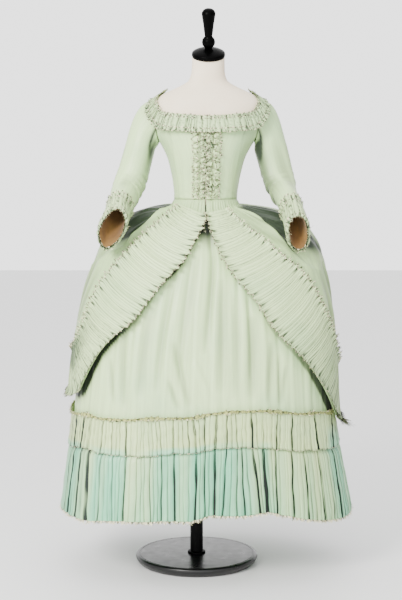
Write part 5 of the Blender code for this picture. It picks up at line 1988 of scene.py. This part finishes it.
TIER_FADES = rows_of(
    TierFade,
    (-120.0, 0.45, 0.5), (-78.0, 0.25, 0.8), (-62.0, 0.1, 0.8), (-56.5, 0.55, 0.1), (-50.0, 0.7, 0.2),
    (-44.0, 0.1, 0.6), (-31.0, 0.02, 0.7), (-27.0, 0.75, 0.1), (-20.0, 0.75, 0.3), (-16.0, 0.25, 0.8),
    (-10.0, 0.1, 0.9), (-6.0, 0.35, 0.8), (-2.0, 0.1, 0.9), (5.0, 0.02, 0.4), (12.0, 0.05, 0.3),
    (16.0, 0.35, 0.2), (20.0, 0.7, 0.2), (23.5, 0.2, 0.5), (27.5, 0.85, 0.1), (56.0, 0.9, 0.0),
    (61.0, 0.55, 0.2), (65.0, 0.05, 0.9), (72.0, 0.15, 0.9), (100.0, 0.5, 0.4), (140.0, 0.15, 0.7),
    (180.0, 0.6, 0.3), (215.0, 0.1, 0.8), (240.0, 0.45, 0.5),
)


class Cast(NamedTuple):
    """How dark the overskirt's edge shadows the petticoat at a turn."""

    turn: float
    amount: float


CASTS = rows_of(
    Cast,
    (-75.0, 0.85), (-46.0, 0.85), (-38.0, 0.75), (-28.0, 0.5), (-21.0, 0.6), (-16.0, 1.1), (-11.0, 0.8),
    (-4.0, 0.5), (0.0, 0.2), (25.0, 0.35), (38.0, 0.4), (46.0, 0.6), (75.0, 0.8), (100.0, 0.6),
)
PETTICOAT_CREASES = rows_of(
    Crease,
    (-37.0, 0.82, -33.0, 0.57, 0.012, 0.0045), (-30.0, 0.84, -28.5, 0.58, 0.007, -0.003),
    (-24.0, 0.9, -24.5, 0.6, 0.016, 0.004), (-15.0, 1.0, -17.5, 0.62, 0.012, 0.0035),
    (-11.0, 0.78, -3.5, 0.575, 0.01, 0.005), (-6.0, 1.05, -8.0, 0.7, 0.018, 0.0035),
    (-2.5, 0.72, 2.5, 0.6, 0.01, -0.003), (1.5, 1.1, 0.5, 0.74, 0.01, 0.0045),
    (5.5, 0.98, 6.5, 0.62, 0.02, 0.004), (12.0, 0.93, 12.5, 0.6, 0.012, 0.0035),
    (20.0, 0.86, 19.0, 0.6, 0.018, 0.0045), (29.0, 0.78, 27.0, 0.58, 0.012, 0.004),
    (37.0, 0.7, 34.0, 0.575, 0.01, 0.0035), (-44.0, 0.72, -39.0, 0.58, 0.009, 0.004),
    (-12.0, 0.66, -7.5, 0.565, 0.006, 0.0045), (18.0, 0.92, 19.0, 0.66, 0.007, 0.004),
    (33.0, 0.74, 33.0, 0.57, 0.006, 0.004),
)


@dataclass
class Petticoat:
    """The petticoat with its flounce: a pale tier over a turquoise one, under a frayed heading."""

    skirt_rows: int = 110
    heading_pleats: int = 110
    flounce_depth: float = 0.008
    flounce_lift: float = -0.0166

    def base(self, level: Array) -> Array:
        """How far the petticoat lies inside the skirt's surface."""
        return -curve(level, [0.7, 1.4, 2.2, 4.0, 7.0, 9.0], [0.0026, 0.006, 0.010, 0.015, 0.018, 0.019])

    def skirt(self, name: str, node: str, first: float, last: float, columns: int, seed: int) -> None:
        """Half of the skirt: fine gathers at the waist that open into soft folds, and the pressed creases.

        Args:
            name: The piece's name.
            node: The solid it stands for.
            first: The turn of its first edge.
            last: The turn of its last edge.
            columns: How many columns of points.
            seed: Fixes the gathers and the folds.
        """
        shares = np.linspace(0.0, 1.0, columns)
        turns = even_turns(SKIRT_SURFACE, 9.0, first, last, shares)[None, :]
        feet = skirt_level(turns, 0.50)
        down = np.linspace(0.0, 1.0, self.skirt_rows)[:, None]
        levels = 0.7 + (feet - 0.7) * down
        way = shares[None, :] * 1.2
        gathers = waves(way, 0.020, seed)
        gathers = gathers * smooth_step(3.4 - levels, 0.0, 2.2) * smooth_step(levels, 0.7, 1.0)
        folds = waves(way + 0.01 * down, 0.085, seed + 1)
        folds = folds * smooth_step(levels, 1.5, 4.5) * smooth_step(11.2 - levels, 0.0, 3.0)
        fine = waves(way - 0.02 * down, 0.034, seed + 2)
        fine = fine * smooth_step(levels, 2.0, 5.0) * smooth_step(11.0 - levels, 0.0, 1.2)
        lift = self.base(levels) - 0.0015 + 0.0009 * gathers + 0.0028 * folds + 0.0016 * fine
        creases = 1.7 * crease_lift(turns, levels, PETTICOAT_CREASES) if first < 0 else np.zeros_like(levels)
        # Painted shade in the pressed creases, the soft folds and the fine folds
        furrow = 0.34 * np.clip(-creases / 0.007, 0.0, 1.0) + 0.04 * np.clip(-folds, 0.0, 1.0)
        furrow = furrow + 0.08 * np.clip(-fine - 0.2, 0.0, 1.0)
        # Painted shadow: near black at the top under the overskirt, and the overskirt's shadow below its edge
        top = 1 - smooth_step(levels + 0.06 * np.abs(turns), 2.5, 3.7)
        drop = edge_height(turns) - 0.004 - skirt_place(turns, levels)[..., 2]
        cast = column(turn_from(turns), CASTS, "turn", "amount")[0]
        narrow, wide = 1 - smooth_step(drop, 0.002, 0.011), 1 - smooth_step(drop, 0.01, 0.05)
        under = cast * (1.1 * narrow + 0.12 * wide)
        patch = SKIRT_SURFACE.at(turns, levels, lift + creases + hip_hollow(turns, levels)[0])
        lay_cloth(
            name, patch, PETTICOAT_SILK, [node], Hold.HUNG, ["form_torso"], furrow=furrow + top + under,
        )

    def tier(
        self, name: str, node: str, part: tuple[float, float], seed: int, finish: Finish,
        ends: tuple[str, str], depths: tuple[float, float], lift: float, rows: int, rests_on: str,
    ) -> Patch:
        """Half of a tier: knife pleats, pressed tight at the top, that open and lean towards the foot.

        Args:
            name: The piece's name.
            node: The solid it stands for.
            part: The turns it runs between.
            seed: Fixes the uneven pleats.
            finish: Its material and slot.
            ends: The lines of the flounce at its top and at its foot.
            depths: The pleats' depth there, as a share of the flounce's own.
            lift: How far it lies off the skirt's surface.
            rows: How many rows of points.
            rests_on: What carries it.

        Returns:
            Its outer surface.
        """
        is_upper = ends[0] == "heading"
        folds = fold_lines(part, seed)
        table = np.linspace(part[0], part[1], TURN_STEPS)
        way = arc(SKIRT_SURFACE.place(table, np.full(TURN_STEPS, HEM_LEVEL)), 0)
        lines = np.interp(folds[:, [0, 1] if is_upper else [1, 2]].T, table, way)
        layout = pleats(np.diff(lines, axis=-1), seed, KNIFE_PLEAT, OPEN_PLEAT)
        down = np.linspace(0.0, 1.0, rows)[:, None]
        gloom = folds[:, 3 if is_upper else 4]
        opened = (np.minimum(gloom[:-1], gloom[1:]) > OPEN_FOLD)[layout.number] * smooth_step(down, 0.05, 0.5)
        start, finish_place = layout.places
        inside = smooth_step(start, 0.0, 0.03) * smooth_step(way[-1] - start, 0.0, 0.03)
        wobble = 0.0016 * waves(down * 0.24 + layout.fold * 0.037, 0.16, seed + 4) * inside
        turns = np.interp(np.sort(start + (finish_place - start) * down + wobble, axis=1), way, table)
        top, foot = (skirt_level(turns[0], flounce_height(turns[0], line)) for line in ends)
        ragged = 0.02 * waves(start, 0.05, seed + 5) * down**3
        levels = top + (foot - top) * down + ragged * is_upper
        open_share = 0.25 + 0.6 * down
        bite = np.clip(0.2 + 0.8 * gloom, 0.0, 1.0)[layout.fold] * (1 - 0.35 * (1 - layout.height))
        rise = 1 - (1 - (layout.rise[0] * (1 - open_share) + layout.rise[1] * open_share)) * bite
        rise = rise * (1 - opened) - 0.1 * opened
        tucked = 1.0 if is_upper else 0.25 + 0.75 * smooth_step(down, 0.05, 0.15)
        depth = self.flounce_depth * (depths[0] + (depths[1] - depths[0]) * down) * tucked
        buckle = 0.0010 * waves(start + 0.3 * down, 0.09, seed + 6)
        patch = SKIRT_SURFACE.at(turns, levels, lift + 0.0020 * tucked + depth * rise + buckle * tucked)
        uneven = (0.85 + 0.3 * down) * (1 + 0.45 * waves(down * 0.24 + layout.fold * 0.071, 0.13, seed + 7))
        signed = turn_from(turns, BACK_START)
        lower_fade, upper_fade = column(signed, TIER_FADES, "turn", "lower", "upper")
        # under is painted shade below the upper tier's edge; bleach is the silk's real fading
        if is_upper:
            under = 0.30 * smooth_step(down, 0.97, 1.0)
            side = smooth_step(np.abs(signed), 60.0, 66.0) * smooth_step(down, 0.3, 0.9) * (signed > 0)
            bleach = upper_fade * np.maximum(smooth_step(down, 0.82, 0.92), side)
        else:
            under = 0.50 * (1 - smooth_step(down, 0.055, 0.085))
            bleach = lower_fade * (1 - 0.35 * down) + 0.15 * waves(start + 0.02 * down, 0.06, seed + 9)
        # Painted shade on fine fold lines, on the pleats' slopes turned away on the left, in open pleats and
        # at the sides
        fine = 0.20 * np.clip(waves(start + 0.01 * down, 0.017, seed + 8) - 0.3, 0.0, 1.0)
        turned_away = smooth_step(-signed, 18.0, 60.0) * smooth_step(120.0 + signed, 0.0, 30.0)
        slope = turned_away * smooth_step(layout.share, 0.92 - 0.60 * turned_away, 0.97 - 0.27 * turned_away)
        creased = np.maximum(layout.furrow, slope)
        edge_shade = 0.16 * smooth_step(np.abs(signed), 55.0, 85.0)
        lay_cloth(
            name, patch, finish, [node], Hold.GATHERED, [rests_on],
            furrow=creased * gloom[layout.fold] * uneven + opened + under + fine + edge_shade, bleach=bleach,
        )
        return patch

    def heading(self, half: str, part: tuple[float, float], width: float, lift: float, seed: int) -> None:
        """A narrow gathered strip along the top of the flounce, frayed along both its edges.

        Args:
            half: front or back.
            part: The turns it runs between.
            width: Its width where it is puffed most.
            lift: How far it lies off the skirt's surface.
            seed: Fixes its puffs.
        """

        def at(share: Array, across: Array, out: Array) -> Patch:
            """The place on the heading, narrower between its puffs.

            Args:
                share: The shares along it.
                across: The shares across it.
                out: How far off the skirt's surface.

            Returns:
                The points and the normals.
            """
            turns = even_turns(SKIRT_SURFACE, 10.0, part[0], part[1], share)
            puffed = 0.55 + 0.45 * smooth_step(waves(share * 1.2, 0.13, seed + 2), -0.1, 0.6)
            height = flounce_height(turns, "heading") + width * puffed * (0.5 - across)
            return SKIRT_SURFACE.at(turns, skirt_level(turns, height), out)

        strip = Strip(
            at, self.heading_pleats, 0.0016, 1.2, seed,
            seat=(lift + 0.0010, lift, lift, lift + 0.0010), swell=(1.0, 0.4, 0.4, 1.0),
            flare=(0.0022, 0.0003, 0.0003, 0.0026), across=(0.0, 0.4, 0.6, 1.0), scallop=0.50, gap=0.5,
            rows=9, tangle=(0.7, 0.7), shade=(0.10, 0.10),
        )
        patch, furrow = strip.patch()
        edges = [Edge.of(patch, row) for row in (0, -1)]
        threads = fringe(f"heading_threads_{half}", edges, HEADING_FRINGE, seed)
        lay_cloth(
            f"flounce_ruche_{half}", patch, HEADING_SILK, [f"flounce_heading_{half}"], Hold.GATHERED,
            [f"petticoat_skirt_{half}"], [threads], furrow=furrow,
        )

    def build(self) -> None:
        """Makes the skirt, the two tiers, the headings and the frayed hem."""
        self.skirt("petticoat_skirt_front", "petticoat_front", -89.95, 89.95, 230, 21)
        self.skirt("petticoat_skirt_back", "petticoat_back", 90.05, 269.95, 130, 22)
        for half, part, seed in (("front", (-89.97, 89.97), 31), ("back", (90.03, 269.97), 32)):
            upper = self.tier(
                f"flounce_tier_upper_{half}", f"flounce_upper_{half}", part, seed, TIER_SILK,
                ("heading", "overlap"), (0.6, 1.0), self.flounce_lift, 24, f"petticoat_skirt_{half}",
            )
            lower = self.tier(
                f"flounce_tier_lower_{half}", f"flounce_lower_{half}", part, seed, TURQUOISE_SILK,
                ("seam", "hem"), (0.9, 1.25), self.flounce_lift - 0.0034, 40, f"flounce_tier_upper_{half}",
            )
            self.heading(half, part, 0.0085, -0.0082, seed + 30)
            fringe(f"tier_threads_{half}", [Edge.of(upper, -1)], TIER_FRINGE, seed + 50)
            fringe(f"hem_threads_{half}", [Edge.of(lower, -1)], HEM_FRINGE, seed + 60)


OVERSKIRT_CREASES = rows_of(
    Crease,
    (36.0, 1.17, 60.0, 1.02, 0.014, 0.005), (48.0, 1.18, 78.0, 1.04, 0.016, 0.0055),
    (62.0, 1.19, 92.0, 1.02, 0.014, 0.005), (70.0, 1.0, 80.0, 0.78, 0.014, 0.0055),
    (79.0, 1.02, 90.0, 0.72, 0.012, 0.006), (88.0, 1.0, 99.0, 0.7, 0.016, 0.006),
    (97.0, 1.04, 107.0, 0.72, 0.014, 0.006), (-40.0, 1.18, -62.0, 1.04, 0.014, 0.005),
    (-52.0, 1.18, -80.0, 1.03, 0.014, 0.005), (-68.0, 1.0, -80.0, 0.8, 0.012, 0.005),
    (-78.0, 1.03, -90.0, 0.78, 0.014, 0.006), (-88.0, 1.05, -101.0, 0.78, 0.012, 0.0055),
    (105.0, 0.86, 155.0, 0.84, 0.016, 0.007, 0.11), (108.0, 0.96, 155.0, 0.9, 0.016, 0.006, 0.08),
    (112.0, 0.76, 154.0, 0.8, 0.014, 0.007, 0.1), (120.0, 1.06, 156.0, 0.96, 0.016, 0.005, 0.05),
    (155.0, 0.86, 205.0, 0.86, 0.016, 0.0075, 0.1), (155.0, 0.93, 205.0, 0.93, 0.016, 0.0065, 0.08),
    (156.0, 0.8, 204.0, 0.8, 0.013, 0.0075, 0.09), (157.0, 1.01, 203.0, 1.01, 0.018, 0.005, 0.05),
    (205.0, 0.86, 255.0, 0.9, 0.016, 0.007, 0.1), (205.0, 0.93, 252.0, 0.98, 0.016, 0.006, 0.08),
    (206.0, 0.8, 250.0, 0.82, 0.014, 0.007, 0.09), (155.0, 1.16, 155.0, 0.8, 0.02, 0.009),
    (205.0, 1.16, 205.0, 0.8, 0.02, 0.009),
)


class BandLook(NamedTuple):
    """How much shade is painted on a band, at even places along it.

    Attributes:
        shade: All of it.
        accent: The darkest of its furrows.
        heading_shade: The half towards its heading.
        tangle: The hollows in its ruffles.
    """

    shade: tuple[float, ...] = (0.1, 0.1)
    accent: tuple[float, ...] = (0.6, 0.6)
    heading_shade: tuple[float, ...] = (0.1, 0.1)
    tangle: tuple[float, ...] = (0.2, 0.2)


BAND_LOOKS = {
    "right": BandLook(
        (0.0, 0.0, 0.0, 0.05, 0.22, 0.42, 0.45), (0.8, 0.9, 0.9, 1.4, 2.6, 3.2),
        (0.1, 0.0, 0.0, 0.1, 0.3), (0.3, 0.1, 0.0, 0.1, 0.3, 0.4),
    ),
    "left": BandLook(
        (0.0, 0.0, 0.02, 0.10, 0.28, 0.36), (0.7, 0.7, 0.9, 1.3, 1.8),
        (0.15, 0.0, 0.10, 0.75, 0.80), (0.3, 0.1, 0.0, 0.3, 0.9, 1.0),
    ),
    "back": BandLook(),
}


@dataclass
class Overskirt:
    """The overskirt, drawn up in swags, and the wide pleated band along its edge.

    Attributes:
        rows: How many rows of points each panel has.
        band_steps: How many places the band's way is measured at.
        tail: The share of the right band whose foot is frayed into a long tail.
    """

    rows: int = 104
    band_steps: int = 401
    tail: float = 0.22

    def panel(self, word: str, first: float, last: float, columns: int) -> None:
        """One panel: pleats into the waist, puffs above the edge and the creases of the draping.

        Args:
            word: right, left or back.
            first: The turn of its first edge.
            last: The turn of its last edge.
            columns: How many columns of points.
        """
        turns = np.linspace(first, last, columns)[None, :]
        edges = skirt_level(turns, edge_height(turns))
        down = np.linspace(0.0, 1.0, self.rows)[:, None] ** 1.1
        levels = edges * down
        seed = 110 + columns
        gathers = waves(turns * 0.0042 + 0.004 * levels, 0.019, seed)
        gathers = gathers * np.exp(-(((levels - 1.0) / 1.1) ** 2))
        wide = waves(turns * 0.0042, 0.047, seed + 1)
        wide = wide * np.exp(-(((levels - 2.2) / 1.6) ** 2))
        soft = waves(turns * 0.006 + 0.02 * levels, 0.09, seed + 2) * smooth_step(levels, 1.5, 4.0)
        fine = waves(turns * 0.006 - 0.012 * levels, 0.037, seed + 3) * smooth_step(levels, 2.0, 5.0)
        quiet = smooth_step(levels, 0.0, 0.5) * smooth_step(1 - down, 0.0, 0.12)
        creases = crease_lift(turns, levels, OVERSKIRT_CREASES)
        folds = 0.0018 * gathers + 0.0024 * wide + 0.0020 * soft + 0.0009 * fine + creases
        hollow, gloom = hip_hollow(turns, levels)
        lift = puff_lift(turns, levels) + quiet * folds + 0.0012 * quiet + hollow
        # Painted shade in the creases, the gathers' troughs and the hollow behind each hip, a little all over
        # and more at the sides
        furrow = 0.35 * np.clip(-creases / 0.006, 0.0, 1.0) + 0.25 * np.clip(-gathers - 0.1, 0.0, 1.0) + gloom
        lay_cloth(
            f"overskirt_panel_{word}", SKIRT_SURFACE.at(turns, levels, lift), OVERSKIRT_SILK,
            [f"overskirt_{word}"], Hold.DRAPED, ["petticoat_skirt_front", "petticoat_skirt_back"],
            furrow=furrow + 0.10 + 0.34 * smooth_step(np.abs(turn_from(turns)), 60.0, 92.0),
        )

    def band(self, word: str, sign: int, stations: Sequence[EdgeStation], count: int, seed: int) -> None:
        """The pleated band on a panel, sewn down near both edges, which stand up frayed and scalloped.

        Args:
            word: right, left or back.
            sign: -1 where the stations' turns run to the left.
            stations: The table of the band's two lines.
            count: How many pleats.
            seed: Fixes the uneven pleats.
        """
        rows = np.array(stations, float)
        dense = np.linspace(0.0, len(rows) - 1.0, self.band_steps)
        line = smooth_table(dense, rows)
        middle_turn = sign * (line[:, 0] + line[:, 2]) / 2
        middle_level = skirt_level(middle_turn, (line[:, 1] + line[:, 3]) / 2)
        way = arc(skirt_place(middle_turn, middle_level), 0)
        margin = SEAM_GAP / way[-1]

        def at(share: Array, across: Array, lift: Array) -> Patch:
            """The place on the band, on straight lines from the skirt's edge to the band's heading.

            Args:
                share: The shares along it.
                across: The shares across it.
                lift: How far off the overskirt.

            Returns:
                The points and the normals.
            """
            station = np.interp(margin + (1 - 2 * margin) * share, way / way[-1], dense)
            edge_turn, edge_top, heading_turn, heading_top = np.moveaxis(smooth_table(station, rows), -1, 0)
            edge_level = skirt_level(sign * edge_turn, edge_top)
            heading_level = skirt_level(sign * heading_turn, heading_top)
            turns = sign * (edge_turn + (heading_turn - edge_turn) * across)
            levels = edge_level + (heading_level - edge_level) * across
            base = puff_lift(turns, levels) + hip_hollow(turns, levels)[0]
            return SKIRT_SURFACE.at(turns, levels, base + lift)

        strip = Strip(
            at, count, 0.0022, float(way[-1]), seed,
            seat=(0.0050, 0.0034, 0.0040, 0.0048, 0.0040, 0.0034, 0.0050),
            swell=(1.6, 0.6, 0.9, 1.0, 0.9, 0.6, 1.6),
            flare=(0.0090, 0.0008, 0.0006, 0.0006, 0.0006, 0.0008, 0.0090),
            across=(0.0, 0.10, 0.20, 0.5, 0.80, 0.90, 1.0), scallop=0.07, gap=0.09, rows=21, gloom=0.48,
            spread=0.6, **BAND_LOOKS[word]._asdict(),
        )
        patch, furrow = strip.patch()
        foot = Edge.of(patch, 0)
        threads = [fringe(f"band_threads_{word}", [foot, Edge.of(patch, -1)], BAND_FRINGE, seed + 5)]
        if word == "right":
            end = slice(-int(self.tail * len(foot.line)), None)
            rim = Edge(foot.line[end], foot.out[end], foot.normals[end])
            threads.append(fringe("tail_threads", [rim], TAIL_FRINGE, seed + 7))
        lay_cloth(
            f"pleated_band_{word}", patch, BAND_SILK, [f"furbelow_{word}"], Hold.GATHERED,
            [f"overskirt_panel_{word}"], threads, furrow=furrow,
        )

    def build(self) -> None:
        """Makes the three panels and their bands."""
        self.panel("right", 0.8, SEAM_RIGHT - 0.05, 150)
        self.panel("left", -0.8, -SEAM_RIGHT + 0.05, 151)
        self.panel("back", SEAM_RIGHT + 0.05, SEAM_LEFT - 0.05, 210)
        levels = np.linspace(1.35, 2.7, 24)
        slit = []
        for side in Side:
            inwards = -side.value * np.tile([1.0, 0.0, 0.0], (len(levels), 1))
            for turn in (1.3, 2.2):
                patch = SKIRT_SURFACE.at(side.value * turn, levels, 0.0022)
                slit.append(Edge(patch.points, inwards, patch.normals))
        # Near-black threads: painted shade in the front opening
        fringe("opening_threads", slit, OPENING_FRINGE, 48)
        self.band("right", 1, EDGE_RIGHT, 140, 41)
        self.band("left", -1, EDGE_LEFT, 140, 42)
        self.band("back", 1, EDGE_BACK, 150, 43)


@dataclass
class Studio:
    """A pale floor, soft light and the camera at the photograph's viewing angle.

    The surroundings are bright before and behind the figure and dimmer at its sides, the right most, as
    between two flags.

    Attributes:
        camera_place: Where the camera stands.
        camera_pitch: Its angle from looking straight down, in radians.
        lens: Its focal length in millimetres.
        strength: How bright the surroundings are.
        light_place: Where the one square soft light stands.
        light_size: Its side in metres.
        light_power: Its power in watts.
        light_aim: The height of the figure's middle, which it looks at.
    """

    camera_place: tuple[float, float, float] = (0.0149, -4.45, 1.30)
    camera_pitch: float = math.radians(84.7)
    lens: float = 80.58
    strength: float = 2.6
    light_place: tuple[float, float, float] = (-2.3, -3.6, 3.0)
    light_size: float = 1.6
    light_power: float = 340.0
    light_aim: float = 0.95

    def build_camera(self) -> None:
        """The camera, a little above the figure's middle and looking slightly down."""
        scene = bpy.context.scene
        lens = bpy.data.cameras.new("camera")
        lens.lens = self.lens
        lens.sensor_width = 36.0
        camera = bpy.data.objects.new("camera", lens)
        camera.location = self.camera_place
        camera.rotation_euler = (self.camera_pitch, 0.0, 0.0)
        scene.collection.objects.link(camera)
        scene.camera = camera

    def build_floor(self) -> None:
        """A wide pale floor just under the foot, half matt."""
        material, _, shader = new_material("white studio floor")
        shader.inputs["Base Color"].default_value = linear("#ebebeb")
        shader.inputs["Roughness"].default_value = 0.5
        mesh = bpy.data.meshes.new("floor")
        corners = [(-14.0, -14.0), (14.0, -14.0), (14.0, 14.0), (-14.0, 14.0)]
        mesh.from_pydata([(x, y, -0.0005) for x, y in corners], [], [(0, 1, 2, 3)])
        mesh.materials.append(material)
        floor = bpy.data.objects.new("floor", mesh)
        bpy.context.scene.collection.objects.link(floor)

    def build_world(self) -> None:
        """The surroundings' tones: a dim left wing, the bright middle and a dimmer right wing."""
        world = bpy.data.worlds.new("studio")
        bpy.context.scene.world = world
        world.use_nodes = True
        tree = world.node_tree
        way = add_node(tree, "ShaderNodeTexCoord").outputs["Generated"]
        sideways = add_node(tree, "ShaderNodeSeparateXYZ", {"Vector": way}).outputs["X"]
        place = add_node(tree, "ShaderNodeMapRange", {"Value": sideways, "From Min": -1.0}).outputs["Result"]
        tones = {0.0: "#969696", 0.40: "#ffffff", 0.60: "#ffffff", 1.0: "#6e6e6e"}
        tone = add_node(tree, "ShaderNodeValToRGB", {"Fac": place}, tones)
        background = tree.nodes["Background"]
        tree.links.new(tone.outputs["Color"], background.inputs["Color"])
        background.inputs["Strength"].default_value = self.strength

    def build_light(self) -> None:
        """A square, faintly warm light at the upper left, ahead of the figure."""
        lamp = bpy.data.lights.new("key", "AREA")
        lamp.energy = self.light_power
        lamp.size = self.light_size
        lamp.color = linear("#fffdf8")[:3]
        light = bpy.data.objects.new("key", lamp)
        light.location = self.light_place
        sight = Vector((0.0, 0.0, self.light_aim)) - Vector(self.light_place)
        light.rotation_euler = sight.to_track_quat("-Z", "Y").to_euler()
        bpy.context.scene.collection.objects.link(light)

    def build(self) -> None:
        """Makes the camera, the floor, the surroundings and the light."""
        self.build_camera()
        self.build_floor()
        self.build_world()
        self.build_light()


def main() -> None:
    """Builds the studio, the stand and the robe."""
    logging.basicConfig(level=logging.INFO, format="%(name)s: %(message)s")
    Studio().build()
    for part in (
        Stand(), Bodice(),
        Sleeve(Side.LEFT, 0.20, LEFT_REACH, lean=0.013, sharpness=0.14, slant=0.030, end=7.0),
        Sleeve(Side.RIGHT, 0.36, RIGHT_REACH, lean=0.002, sharpness=-0.20, slant=0.024, end=6.85),
        Petticoat(), Overskirt(),
    ):
        log.info("building %s", type(part).__name__)
        part.build()


if __name__ == "__main__":
    main()
